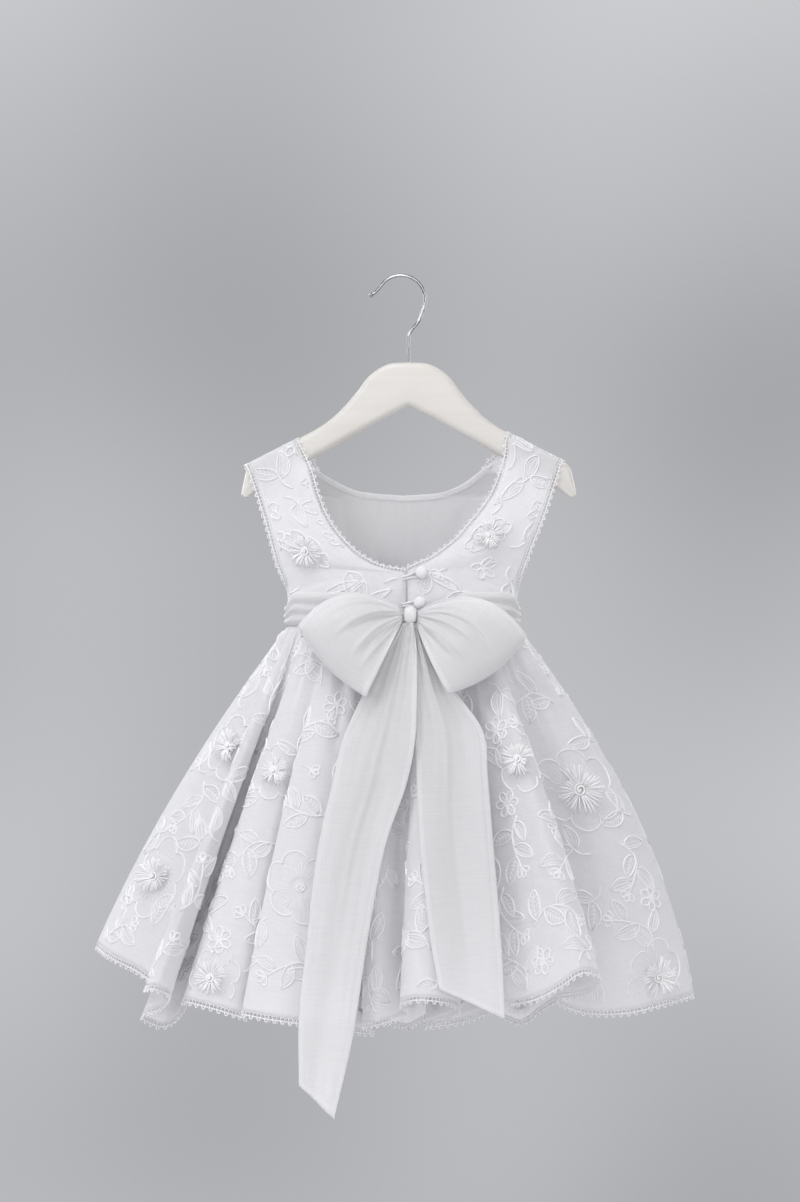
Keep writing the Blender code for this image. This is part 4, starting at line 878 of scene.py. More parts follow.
skirt_grids, skirt_pieces = {}, {}
cloth_end = 1.0 - (HEM_LACE + GAP) / SKIRT_LENGTH
for half, name in HALF_NAMES.items():
    alongs = np.linspace(0.0, 1.0, SKIRT_COLUMNS[half])
    downs = np.linspace(0.0, 1.0, SKIRT_ROWS) ** ROW_SPREAD * cloth_end
    grid = skirt_grid(half, alongs, downs)
    for end, beside in ((0, 1), (-1, -2)):
        grid[:, end] += unit(grid[:, beside] - grid[:, end]) * SEAM_DRAW
    skirt_grids[half] = grid
    piece = cloth_piece("skirt_%s_voile" % name, [grid], CLOTH_SHOWN, voile)
    joins_gown(piece, "embroidered_cotton", "skirt_" + name)
    skirt_pieces[half] = piece


# --- Embroidery ------------------------------------------------------------------------------------
# Fine white cord couched on the voile before it was cut: scalloped flowers round the fringed
# centres, veined leaves, small looped flowers, tendrils and stems, in an all-over garden layout.

# Width and height of the cord, of the fine cord, and of the stitches in leaves and in flowers.
CORD, FINE, SLANT, RAY = (1.7, 1.25), (1.05, 0.55), (1.2, 0.6), (0.8, 0.28)
STEP = 1.9
FLOWER_RADIUS, FLOWER_TALL = 31.0, 1.16
EDGE_ROWS, EDGE_COLUMNS = 1.5, 2.0
PROBE = 2.0
LEAST_KEPT, LOW_KEPT, HIGH_KEPT = 0.45, 0.62, 1.5


def bent(points, step=STEP):
    """A smooth run through the points, in even steps."""
    return through_points(points, max(3, int(round(lengths_along(points)[-1] / step)) + 1))


def spun(points, turn):
    """Points turned round the middle of their motif."""
    cosine, sine = math.cos(turn), math.sin(turn)
    return points @ np.array(((cosine, sine), (-sine, cosine)))


def loop_petal(length, width, turn, start=(0.0, 0.0)):
    """A loop of cord that leaves a place, goes round and comes back."""
    sweep = np.linspace(0.0, 2.0 * math.pi, 13)
    out = 0.5 * length * (1.0 - np.cos(sweep))
    side = 0.5 * width * np.sin(sweep) * (0.55 + 0.45 * out / length)
    return spun(np.stack([out, side], axis=1), turn) + start, *CORD


def coil(radius, turns, start=0.0):
    sweep = np.linspace(0.3, 1.0, max(8, int(turns * 10)))
    angle = start + 2.0 * math.pi * turns * sweep
    return np.stack([radius * sweep * np.cos(angle), radius * sweep * np.sin(angle)], axis=1)


def spoke(radius, angle, shares, tall=1.0):
    """Places on one line out from a motif's middle."""
    return [(share * radius * math.cos(angle), tall * share * radius * math.sin(angle)) for share in shares]


def scalloped_flower(rng, radius=FLOWER_RADIUS, fringed=True):
    """Six or seven wide lobes, with a tuck at each notch and fine stitches that fan out inside."""
    lobes = int(rng.integers(6, 8))
    sweep = np.linspace(0.0, 2.0 * math.pi, lobes * 11 + 1)
    uneven = 1.0 + 0.07 * np.sin(2.0 * sweep + rng.uniform(0, 6))
    reach = radius * uneven * (0.76 + 0.24 * np.abs(np.sin(0.5 * lobes * sweep)) ** 0.6)
    strokes = [(np.stack([reach * np.cos(sweep), FLOWER_TALL * reach * np.sin(sweep)], axis=1), *CORD)]
    for lobe in range(lobes):
        notch = 2.0 * math.pi * lobe / lobes
        strokes.append((bent(spoke(radius, notch, (0.76, 0.62), FLOWER_TALL)), *FINE))
        for k in range(6):
            angle = notch + 2.0 * math.pi / lobes * (k + 0.5) / 6.0
            reached = (0.36 if fringed else 0.24, rng.uniform(0.56, 0.70))
            strokes.append((bent(spoke(radius, angle, reached, FLOWER_TALL), 4.0), *RAY))
    if not fringed:
        strokes.append((coil(4.4, 2.2), *CORD))
    return strokes


def leaf(rng, length=33.0, width=15.0, start=(0.0, 0.0), turn=0.0, double=False, bend=3.0):
    """A pointed outline and a vein, with a second outline or slanting stitches inside it."""

    def half_width(at):
        return 0.5 * width * (4.0 * at * (1.0 - at)) ** 0.72 * (1.08 - 0.25 * at)

    def place(at, off):
        return np.stack([length * at, bend * np.sin(math.pi * at) + off], axis=-1)

    share = np.linspace(0.0, 1.0, max(8, int(length / 2.2)))
    half, axis = half_width(share), place(share, 0.0)
    strokes = [(np.vstack([place(share, half), place(share, -half)[::-1]]), *CORD)]
    if double:
        inner = np.vstack([place(share, 0.62 * half), place(share, -0.62 * half)[::-1]])
        middle = axis.mean(axis=0)
        strokes.append((middle + (inner - middle) * (0.82, 1.0), *FINE))
    strokes.append((axis[(share > 0.06) & (share < 0.92)], *FINE))
    if not double:
        for at in np.arange(0.14, 0.80, 3.6 / length):
            tip = min(at + 0.15, 0.95)
            for side in (-1.0, 1.0):
                strokes.append((np.stack([place(at, 0.0), place(tip, side * 0.74 * half_width(tip))]), *SLANT))
    return [(spun(points, turn) + start, wide, high) for points, wide, high in strokes]


def looped_flower(rng, radius=12.0):
    """Five or six loops round a small coil."""
    petals = int(rng.integers(5, 7))
    first = rng.uniform(0.0, 1.0)
    strokes = []
    for petal in range(petals):
        turn = first + 2.0 * math.pi * petal / petals
        strokes.append(loop_petal(radius, radius * 0.72, turn))
        strokes.append((bent(spoke(radius, turn, (0.3, 0.72)), 3.0), *FINE))
    strokes.append((coil(2.4, 1.5), CORD[0], 1.1))
    return strokes


def sprig(rng, half=26.0):
    """A curved stem with leaves on both sides and three little loops at its tip."""
    sway = rng.uniform(6.0, 12.0) * rng.choice((-1.0, 1.0))
    stem = bent([(-half, 0.0), (-0.4 * half, sway), (0.3 * half, 0.4 * sway), (half * 0.8, -0.5 * sway)])
    strokes = [(stem, *CORD)]
    for at, side in ((0.12, 1.0), (0.34, -1.0), (0.58, 1.0), (0.80, -1.0)):
        i = int(at * (len(stem) - 1))
        way = math.atan2(*(stem[i + 1] - stem[i])[::-1])
        size = rng.uniform(0.75, 1.0)
        turn = way + side * rng.uniform(0.7, 1.0)
        double = bool(rng.integers(0, 2))
        strokes += leaf(rng, 27.0 * size, 13.0 * size, stem[i], turn, double, side * 1.5)
    way = math.atan2(*(stem[-1] - stem[-2])[::-1])
    return strokes + [loop_petal(8.5, 6.0, way + spread, stem[-1]) for spread in (-0.9, 0.0, 0.9)]


def leaf_pair(rng):
    """Two leaves that part from one short stem."""
    strokes = [(bent([(-16.0, -3.0), (-8.0, 1.5), (0.0, 0.0)]), *CORD)]
    strokes += leaf(rng, 27.0, 12.5, (0.0, 0.0), 0.62, bend=2.0)
    return strokes + leaf(rng, 24.0, 12.0, (-3.0, 0.0), -0.75, double=True, bend=-2.0)


def tendril(rng):
    """A stem that curls up at its end, with two buds."""
    curl = coil(6.0, 1.3, 1.2)[::-1]
    stem = bent(np.vstack([[(-20.0, -6.0), (-12.0, 1.0), (-3.0, 3.5)], curl[1:4]]))
    buds = [loop_petal(8.0, 5.5, 2.2, (-12.0, 1.0)), loop_petal(7.0, 5.0, -1.3, (-6.0, 3.0))]
    return [(np.vstack([stem[:-1], curl[3:]]), *CORD)] + buds


def bud(rng):
    """Three small loops on a short stem."""
    stem = bent([(-8.0, 0.0), (-4.0, 0.8), (0.0, 0.0)])
    return [(stem, *CORD)] + [loop_petal(8.0, 5.4, turn) for turn in (-0.8, 0.0, 0.8)]


def swirl(rng):
    """Nested half ovals, like a bud seen from its side."""
    sweep = np.linspace(-0.55 * math.pi, 0.55 * math.pi, 13)
    strokes = []
    for size in (1.0, 0.68, 0.4):
        oval = np.stack([15.0 * size * np.cos(sweep) - 6.0, 12.0 * size * np.sin(sweep)], axis=1)
        strokes.append((oval, *CORD))
    strokes.append((bent([(-18.0, 2.0), (-11.0, -1.5), (-5.0, 0.0)]), *CORD))
    return strokes


def panel_of(grid, facings):
    """A panel that motifs can be laid on: its points, facings and distances along rows and columns."""
    return {"points": grid, "facings": facings, "runs": grid_runs(grid, 1), "drops": grid_runs(grid, 0)}


def read_grid(values, row, column):
    """A value between four neighbours of a grid."""
    j = int(min(max(row, 0.0), values.shape[0] - 1.001))
    i = int(min(max(column, 0.0), values.shape[1] - 1.001))
    q, p = row - j, column - i
    upper = values[j, i] * (1 - p) + values[j, i + 1] * p
    lower = values[j + 1, i] * (1 - p) + values[j + 1, i + 1] * p
    return upper * (1 - q) + lower * q


def on_panel(panel, row, column, offset):
    """Where on the grid a point lies that is so far to the right of and above a place."""
    runs, drops = panel["runs"], panel["drops"]
    rows, columns = np.arange(runs.shape[0]), np.arange(runs.shape[1])
    i = int(min(max(round(column), 0), columns[-1]))
    target = np.interp(row, rows, drops[:, i]) - offset[1]
    if target < 0.0 or target > drops[-1, i]:
        return None
    new_row = np.interp(target, drops[:, i], rows)
    j = min(int(new_row), len(runs) - 2)
    found = []
    for near in (j, j + 1):
        want = np.interp(column, columns, runs[near]) + offset[0]
        if want < 0.0 or want > runs[near, -1]:
            return None
        found.append(np.interp(want, runs[near], columns))
    return new_row, mix(*found, new_row - j)


def size_kept(panel, row, column, offset):
    """How large an area comes out where a motif's point comes to lie, as a share of its true size."""
    steps = ((0.0, 0.0), (PROBE, 0.0), (0.0, PROBE))
    spots = [on_panel(panel, row, column, offset + step) for step in steps]
    if None in spots:
        return 1.0
    corner, beside, above = [read_grid(panel["points"], *spot) for spot in spots]
    return np.linalg.norm(np.cross(beside - corner, above - corner)) / PROBE**2


def lay_motif(work, panel, row, column, turn, strokes, strict=True):
    """Couches a motif's strokes on a panel round a place, leaving out what would run off the cloth.

    A motif that the grid would squash or stretch there isn't laid at all, if strict."""
    last_row, last_column = panel["points"].shape[0] - 1, panel["points"].shape[1] - 1
    strokes = [(spun(points, turn), wide, high) for points, wide, high in strokes]
    if strict:
        corded = [points[::3] for points, wide, _ in strokes if wide == CORD[0]]
        kept = [size_kept(panel, row, column, offset) for points in corded for offset in points]
        low, high = np.percentile(kept, (10, 90))
        if min(kept) < LEAST_KEPT or low < LOW_KEPT or high > HIGH_KEPT:
            return False
    for points, wide, high in strokes:
        run, ups = [], []
        for offset in (*points, None):
            spot = None if offset is None else on_panel(panel, row, column, offset)
            if (
                spot
                and EDGE_ROWS <= spot[0] <= last_row - EDGE_ROWS
                and EDGE_COLUMNS <= spot[1] <= last_column - EDGE_COLUMNS
            ):
                up = unit(read_grid(panel["facings"], *spot))
                run.append(read_grid(panel["points"], *spot) + up * 0.5 * CLOTH_SHOWN)
                ups.append(up)
            elif run:
                add_cord(work, run, ups, wide, high)
                run, ups = [], []
    return True


def halton(index, base):
    """An even scatter over 0 to 1."""
    result, share = 0.0, 1.0
    while index > 0:
        share /= base
        result += share * (index % base)
        index //= base
    return result


MOTIFS = {
    # name: the maker of its strokes and the room that it takes
    "flower": (scalloped_flower, 36.0), "sprig": (sprig, 29.0), "pair": (leaf_pair, 21.0),
    "looped": (looped_flower, 14.5), "leaf": (leaf, 13.5), "tendril": (tendril, 15.0),
    "swirl": (swirl, 14.0), "bud": (bud, 9.0),
}


def embroider(panel, seed, fringed_at, flowers_at, fill, tries):
    """Lays the large flowers where they are wanted, then fills the ground between them."""
    rng = np.random.default_rng(seed)
    work = new_work()
    rows_count, columns_count = panel["points"].shape[:2]
    taken = []
    flowers = [(*spot, True) for spot in fringed_at] + [(*spot, False) for spot in flowers_at]
    for row, column, size, fringed in flowers:
        taken.append((read_grid(panel["points"], row, column), MOTIFS["flower"][1] * size))
        turn = rng.uniform(-0.3, 0.3)
        strokes = scalloped_flower(rng, FLOWER_RADIUS * size, fringed)
        lay_motif(work, panel, row, column, turn, strokes, strict=False)
    for name, closeness in fill:
        make, room = MOTIFS[name]
        for index in range(1, tries):
            row = (0.03 + 0.94 * halton(index, 2)) * (rows_count - 1)
            column = (0.01 + 0.98 * halton(index, 3)) * (columns_count - 1)
            spot = read_grid(panel["points"], row, column)
            if any(np.linalg.norm(spot - other) < closeness * (room + width) for other, width in taken):
                continue
            if lay_motif(work, panel, row, column, rng.uniform(-math.pi, math.pi), make(rng)):
                taken.append((spot, room))
    return work


TUFTS_ON_SKIRT = [
    # half, along the hem, down, size
    (BACK, 0.063, 0.35, 0.8), (BACK, 0.045, 0.74, 1.0), (BACK, 0.29, 0.38, 0.75), (BACK, 0.282, 0.92, 0.8),
    (BACK, 0.798, 0.38, 0.8), (BACK, 0.948, 0.42, 1.15), (BACK, 0.968, 0.92, 0.95), (FRONT, 0.2, 0.6, 1.0),
    (FRONT, 0.42, 0.84, 1.0), (FRONT, 0.61, 0.5, 1.0), (FRONT, 0.86, 0.8, 1.0),
]
TUFTS_ON_BODICE = [
    # face, side, across, down, size
    (BACK, LEFT, 0.36, 0.5, 0.85), (BACK, RIGHT, 0.62, 0.4, 0.8), (FRONT, LEFT, 0.6, 0.62, 0.85),
]
PLAIN_FLOWERS = {
    # half: along the hem, down, size
    BACK: [
        (0.36, 0.66, 0.95), (0.47, 0.36, 0.85), (0.62, 0.78, 0.9), (0.9, 0.7, 0.8),
    ],
    FRONT: [
        (0.06, 0.7, 0.9), (0.35, 0.4, 0.8), (0.72, 0.8, 0.9), (0.9, 0.4, 0.8),
    ],
}
# The motifs that fill the ground, and how close each may come to its neighbours.
SKIRT_FILL = [
    ("sprig", 0.72), ("pair", 0.72), ("looped", 0.78), ("leaf", 0.78), ("swirl", 0.80), ("tendril", 0.76),
    ("bud", 0.84),
]
BODICE_FILL = [
    ("pair", 0.80), ("looped", 0.80), ("leaf", 0.80), ("swirl", 0.85), ("tendril", 0.82), ("bud", 0.86),
]
SKIRT_SEED, BODICE_SEED = 11, 40
SKIRT_TRIES, BODICE_TRIES = 900, 500
BODICE_FLOWER = 0.72


def skirt_spot(half, along, down):
    """The row and column of a place on the skirt's grid."""
    row = (SKIRT_ROWS - 1) * min(down / cloth_end, 1.0) ** (1.0 / ROW_SPREAD)
    return row, along * (SKIRT_COLUMNS[half] - 1)


def bodice_spot(face, across, down):
    """The row and column of a place on the bodice's grid."""
    row = len(STRAP_DEGREES) + np.interp(down, bodice_rows[face], np.arange(len(bodice_rows[face])))
    return row, across * (BODICE_COLUMNS - 1)


skirt_panels, skirt_embroidery = {}, {}
for half, name in HALF_NAMES.items():
    square = squares(skirt_grids[half])
    outwards = square if (square[:, :, 1] * half).sum() > 0.0 else -square
    panel = skirt_panels[half] = panel_of(skirt_grids[half], outwards)
    fringed_at = [(*skirt_spot(half, *place), size) for h, *place, size in TUFTS_ON_SKIRT if h == half]
    flowers_at = [(*skirt_spot(half, *place), size) for *place, size in PLAIN_FLOWERS[half]]
    work = embroider(panel, SKIRT_SEED + half, fringed_at, flowers_at, SKIRT_FILL, SKIRT_TRIES)
    piece = mesh_piece("skirt_%s_embroidery" % name, work, thread)
    joins_gown(piece, "embroidered_cotton")
    skirt_embroidery[half] = piece

bodice_work = {}
for (face, side), grid in bodice_grids.items():
    here = [(place, size) for f, s, *place, size in TUFTS_ON_BODICE if (f, s) == (face, side)]
    fringed_at = [(*bodice_spot(face, *place), BODICE_FLOWER * size) for place, size in here]
    seed = BODICE_SEED + 2 * face + side
    work = embroider(panel_of(grid, facing(grid)), seed, fringed_at, [], BODICE_FILL, BODICE_TRIES)
    bodice_work[face, side] = work
for side, name in SIDE_NAMES.items():
    piece = mesh_piece("bodice_back_%s_embroidery" % name, bodice_work[BACK, side], thread)
    joins_gown(piece, "embroidered_cotton")
    bodice_work[BACK, side] = piece
both = new_work()
for side in SIDE_NAMES:
    add_part(both, *(np.vstack(bodice_work[FRONT, side][key]) for key in ("points", "faces", "marks")))
front_embroidery = mesh_piece("bodice_front_embroidery", both, thread)
joins_gown(front_embroidery, "embroidered_cotton")


# --- Fringed flower centres ------------------------------------------------------------------------
# A little coil of cord with two rounds of cut white threads under it, sewn down in the middle of
# each large flower.

TUFT_DISC = 5.0
STRANDS, CLUMP = 48, 6
# Width and height of a strand, of the rings under the coil, of the coil and of the knot in its middle.
STRAND, RING, COIL, CENTRE = (1.4, 1.25), (2.4, 2.0), (2.3, 1.9), (2.7, 2.7)
CENTRE_HEIGHTS = (3.2, 5.4, 6.0)
FRINGE_SEED = 100


def make_fringe(work, foot, outward, size, rng):
    """Strands that fan out from under a coil, rise and bend over."""
    sideways = unit(np.cross(outward, (0.0, 0.0, 1.0)))
    upward = np.cross(sideways, outward)

    def at(radius, turn, height):
        flat = sideways * math.cos(turn) + upward * math.sin(turn)
        return foot + flat * radius + outward * height

    def lay(run, across, cord, taper):
        add_cord(work, run, [across] * len(run), *cord, FREE, taper)

    for strand in range(STRANDS):
        if strand % CLUMP == 0:
            middle = 2.0 * math.pi * (strand + rng.uniform(0.0, 1.5)) / STRANDS
            clump_length, clump_rise = rng.uniform(9.5, 16.5), rng.uniform(3.0, 8.5)
        tier = strand % 2
        turn = middle + 2.0 * math.pi * (strand % CLUMP + rng.uniform(-0.4, 0.4)) / STRANDS * 0.86
        length = size * clump_length * rng.uniform(0.88, 1.14)
        rise = size * (clump_rise + rng.uniform(-0.8, 0.8) + 1.6 * tier)
        wander = rng.uniform(-0.12, 0.12)
        run = []
        for share in np.linspace(0.0, 1.0, 5):
            height = 0.9 + 1.1 * tier + rise * math.sin(1.9 * share) - 0.4 * share
            run.append(at(TUFT_DISC * size * 0.55 + length * share, turn + wander * share, height))
        lay(run, outward, STRAND, (0.8, 1.0))
    for radius, height in ((0.9, 1.3), (0.62, 2.3)):
        around = np.linspace(0.0, 2.0 * math.pi, 19)
        lay([at(TUFT_DISC * radius * size * 0.98, turn, height) for turn in around], outward, RING, (1.0, 1.0))
    curl = np.vstack([[(0.0, 0.0)], coil(TUFT_DISC * 1.15 * size, 2.6)])[::-1]
    rising = [foot + sideways * x + upward * y + outward * (3.6 + 0.07 * i) for i, (x, y) in enumerate(curl)]
    lay(rising, outward, COIL, (0.8, 0.8))
    lay([foot + outward * height for height in CENTRE_HEIGHTS], sideways, CENTRE, (1.0, 0.7))


fringe_places = [(skirt_panels[half], skirt_spot(half, *place), size) for half, *place, size in TUFTS_ON_SKIRT]
for face, side, across, down, size in TUFTS_ON_BODICE:
    panel = panel_of(bodice_grids[face, side], facing(bodice_grids[face, side]))
    fringe_places.append((panel, bodice_spot(face, across, down), size))
# The fringe's thread is a lighter copy of the embroidery thread: painted light, which makes up for the shade
# that the close strands cast on one another.
loose_thread = thread_finish("loose_white_thread", (0.95, 0.945, 0.955), (0.99, 0.985, 0.99), 0.35)
for number, (panel, spot, size) in enumerate(fringe_places, 1):
    foot, outward = read_grid(panel["points"], *spot), unit(read_grid(panel["facings"], *spot))
    work = new_work()
    make_fringe(work, foot, outward, size, np.random.default_rng(FRINGE_SEED + number))
    piece = mesh_piece("fringe_%02d" % number, work, loose_thread)
    joins_gown(piece, "fringe_thread", "tuft_%02d" % number)


# --- Lace ------------------------------------------------------------------------------------------
# Narrow cotton picot lace: a header sewn along the cloth's edge, a row of ladder bars with open
# holes between them, a second cord, and small looped points.

EDGE_LACE, EDGE_PITCH, HEM_PITCH = 5.4, 6.6, 7.0
LACE_WALL = 1.0
LACE_DROOP = np.array((0.0, 0.0, -1.3))
# Width and height of the header, the second cord, the bars and the points.
HEADER, SECOND, BAR, POINT = (0.7, 0.9), (1.2, 1.1), (0.8, 0.8), (1.05, 1.1)
HEADER_AT, SECOND_AT, BAR_END = 0.3, 0.56, 0.54
# One looped point: places along it in shares of the pitch, and off the edge in shares of the width.
PICOT = [(-0.19, 0.56), (-0.20, 0.76), (-0.08, 0.96), (0.08, 0.96), (0.20, 0.76), (0.19, 0.56)]
INNER = 0.06
BELOW = (0.0, 0.0, -8.0)


def square_to_edge(edge, inner, ring=False):
    """For each point of an edge, the way off the cloth, square to the edge."""
    edge, inner = np.array(edge), np.array(inner)
    ahead = np.roll(edge, -1, axis=0) - np.roll(edge, 1, axis=0)
    if not ring:
        ahead[0], ahead[-1] = edge[1] - edge[0], edge[-1] - edge[-2]
    ahead = unit(ahead)
    off = edge - inner
    return unit(off - ahead * (off * ahead).sum(axis=1)[:, None])


def picot_lace(name, node, edge, outward, width=EDGE_LACE, pitch=EDGE_PITCH, ring=False):
    """One length of lace along an edge, as a mesh of cords."""
    edge, outward = np.array(edge), np.array(outward)
    if ring:
        edge, outward = np.vstack([edge, edge[:1]]), np.vstack([outward, outward[:1]])
    run = lengths_along(edge)
    repeats = max(2, int(round(run[-1] / pitch)))
    pitch = run[-1] / repeats
    work = new_work()

    def lay(places, cord, taper=(0.8, 0.8)):
        along, off = np.array(places).T
        along = np.clip(along, 0.0, run[-1])
        way = unit(read_line(along, run, outward))
        ahead = read_line(along + 0.5, run, edge) - read_line(along - 0.5, run, edge)
        points = read_line(along, run, edge) + way * (GAP + off)[:, None]
        add_cord(work, points, unit(np.cross(ahead, way)), *cord, FREE, taper)

    half_steps = np.arange(2 * repeats + 1) * 0.5 * pitch
    lay([(along, HEADER_AT) for along in half_steps], HEADER)
    lay([(along, SECOND_AT * width) for along in half_steps], SECOND)
    for along in half_steps[:-1] + 0.25 * pitch:
        lay([(along, HEADER_AT), (along, BAR_END * width)], BAR, (1.0, 1.0))
    for along in (np.arange(repeats) + 0.5) * pitch:
        lay([(along + pitch * share, width * off) for share, off in PICOT], POINT)
    piece = mesh_piece(name, work, thread)
    joins_gown(piece, "picot_lace", node)
    return piece


down_to_underarm = np.concatenate([np.linspace(0.0, 0.76, 60), np.linspace(0.765, UNDERARM, 24)[:-1]])
for side, name in SIDE_NAMES.items():
    edge, inner = [], []
    for face in (BACK, FRONT):
        for down in down_to_underarm[::face]:
            foot, near = bodice_point(side, face, 0.0, down), bodice_point(side, face, INNER, down)
            edge.append(foot)
            inner.append(mix(near, near + BELOW, ease(down, 0.70, UNDERARM)))
        if face == BACK:
            for degrees in np.linspace(-STRAP_DEGREES[-1], STRAP_DEGREES[-1], 11):
                edge.append(strap_point(side, 1, 0.0, degrees))
                inner.append(strap_point(side, 1, INNER, degrees))
    lowest = bodice_point(side, BACK, 0.0, UNDERARM) * (1.0, 0.0, 1.0)
    edge.append(lowest)
    inner.append(lowest + BELOW)
    off = square_to_edge(edge, inner, ring=True)
    made = picot_lace("armhole_lace_" + name, "lace_armhole_" + name, edge, off, ring=True)


def neck_edge(side, face, downs):
    """The neck edge of one half from the shoulder seam down, and the way off the cloth along it."""
    edge, inner = (
        [strap_point(side, face, across, degrees) for degrees in STRAP_DEGREES]
        + [bodice_point(side, face, across, down) for down in downs]
        for across in (1.0, 1.0 - INNER)
    )
    return edge, square_to_edge(edge, inner)


def face_out(side, face, across, down, step=0.006):
    """The way that the bodice faces at a place, away from its inside."""
    beside = bodice_point(side, face, across + step, down) - bodice_point(side, face, across - step, down)
    below = bodice_point(side, face, across, down + step) - bodice_point(side, face, across, down - step)
    outward = unit(np.cross(beside, below))
    away = bodice_point(side, face, across, down) * (1.0, 1.0, 0.0) - (WAIST_X, 0.0, 0.0)
    return outward if np.dot(outward, away) > 0.0 else -outward


for side, name in SIDE_NAMES.items():
    edge, off = neck_edge(side, BACK, np.linspace(0.0, NECK_CORNER[BACK], 60))
    picot_lace("back_neck_lace_" + name, "lace_neck_back_" + name, edge, off)

# Below the shoulders the front neck's lace stands outside the lining and droops.
stand_off = 0.5 * COTTON_WALL + GAP + 0.5 * LACE_WALL
front_downs = np.linspace(0.0, NECK_CORNER[FRONT], 40)[:-1]
middle_out = np.array((0.0, 1.0, 0.0))
edge = [bodice_point(LEFT, FRONT, 1.0, NECK_CORNER[FRONT]) + middle_out * stand_off]
outward = [unit(middle_out + LACE_DROOP)]
for side in SIDE_NAMES:
    points, ways = neck_edge(side, FRONT, front_downs)
    ways = list(ways)
    for i, down in enumerate(front_downs, len(STRAP_DEGREES)):
        turned = ease(down, 0.03, 0.13)
        out = unit(face_out(side, FRONT, 0.9, max(down, 0.01)) * (1.0, 1.0, 0.0))
        ways[i] = unit(mix(ways[i], unit(out + LACE_DROOP), turned))
        points[i] = points[i] + out * stand_off * turned
    edge = points + edge if side == LEFT else edge + points[::-1]
    outward = ways + outward if side == LEFT else outward + ways[::-1]
picot_lace("front_neck_lace", "lace_neck_front", edge, outward)

lace_start = 1.0 - HEM_LACE / SKIRT_LENGTH
for half, name in HALF_NAMES.items():
    near, far = skirt_grid(half, np.linspace(0.0, 1.0, 2 * SKIRT_COLUMNS[half]), [lace_start, 1.0])
    ways = unit(far - near)
    edge = near - ways * GAP
    made = picot_lace("hem_lace_" + name, "lace_hem_" + name, edge, ways, HEM_LACE - 0.2, HEM_PITCH)


# --- Sash band -------------------------------------------------------------------------------------
# Silk organza, cut 80 to 90 mm wide with narrow turned hems. It goes once round the waist in three
# soft folds and narrows to the knot at the back.

ORGANZA_WALL = 1.0
ORGANZA_SHOWN = 0.4
BAND_FOLDS = [(0.0,), (2.4,), (0.7,), (2.7,), (0.4,), (2.2,), (0.2,)]
BAND_BASE = 0.5 * COTTON_WALL + GAP + 0.5 * ORGANZA_WALL
BAND_TOP, BAND_FOOT = -283.5, -312.8
BAND_TOP_AT_KNOT, BAND_FOOT_AT_KNOT = -301.5, -310.6
BAND_TOP_UNDER_ARM = -295.5
KNOT_CENTRE = np.array((8.2, -48.9, -303.8))
BAND_AROUND, BAND_LEVELS = 320, 31

around = 2.0 * math.pi * np.arange(BAND_AROUND) / BAND_AROUND
drift = 0.05 * np.sin(3 * around) + 0.04 * np.sin(7 * around + 1.0)
band = []
for height in np.linspace(0.0, 1.0, BAND_LEVELS):
    level = np.clip(height + drift * math.sin(math.pi * height), 0.0, 1.0)
    folds = through(np.linspace(0.0, 1.0, len(BAND_FOLDS)), BAND_FOLDS, level)[:, 0]
    folds = folds * (0.85 + 0.15 * np.sin(5 * around + 0.5))
    folds += 0.18 * np.sin(2 * math.pi * (9.0 * height + 1.2 * np.sin(4 * around)))
    x, y = waist_oval(around, BAND_BASE + np.maximum(folds, -0.1))
    x, y = WAIST_X - x, -y
    to_knot = np.where(y < 0, 1.0 - ease(np.abs(x - KNOT_CENTRE[0]), 22.0, 50.0), 0.0)
    under_arm = 1.0 - ease(np.abs(y), 12.0, 24.0)
    top = mix(mix(BAND_TOP, BAND_TOP_AT_KNOT, to_knot), BAND_TOP_UNDER_ARM, under_arm)
    foot = mix(BAND_FOOT, BAND_FOOT_AT_KNOT, to_knot)
    band.append(np.stack([x, y, mix(foot, top, height)], axis=1))


def organza_finish(name, opacity):
    """Sheer crisp weave: see-through between its threads, denser along slubs and in the hems."""
    made = cloth_finish(name, (0.935, 0.93, 0.94), (0.98, 0.975, 0.98), 1500.0, 0.15, 0.2, 0.5 * math.pi, 0.04)
    material, tree, shader, woven = made
    set_inputs(shader, {"Roughness": 0.5, "Subsurface Weight": 0.5, "Subsurface Scale": 0.004})
    hem = tree.nodes.new("ShaderNodeAttribute")
    hem.attribute_name = "hem"
    denser = worked(tree, "MULTIPLY_ADD", woven["Slub"], 0.08, opacity - 0.04)
    tree.links.new(worked(tree, "MULTIPLY_ADD", hem.outputs["Fac"], 0.09, denser), shader.inputs["Alpha"])
    return material


organza = organza_finish("silk_organza", 0.72)
folded_organza = organza_finish("folded_silk_organza", 0.94)
sash_band = cloth_piece("sash_band_organza", [np.array(band)], ORGANZA_SHOWN, folded_organza, ring=True)
joins_gown(sash_band, "organza", "sash_band")


# --- Bow loops -------------------------------------------------------------------------------------
# Each loop is the full width of the sash folded over on itself, puffed at the near side, with
# pleats that fan out from the knot.

ROOT_Y = -50.0
LOOPS = {
    # x and z of the root's top and bottom, of the outer fold's; how far the top, bottom and fold bow out
    LEFT: ((1.2, -299.2), (1.2, -309.4), (-91.3, -313.8), (-31.0, -375.8), (22.0, 0.0, 7.0)),
    RIGHT: ((15.2, -300.0), (14.2, -311.8), (111.7, -322.6), (41.6, -373.2), (23.0, 2.5, 9.0)),
}
LOOP_PUFF, LOOP_BEHIND = 17.0, 4.5
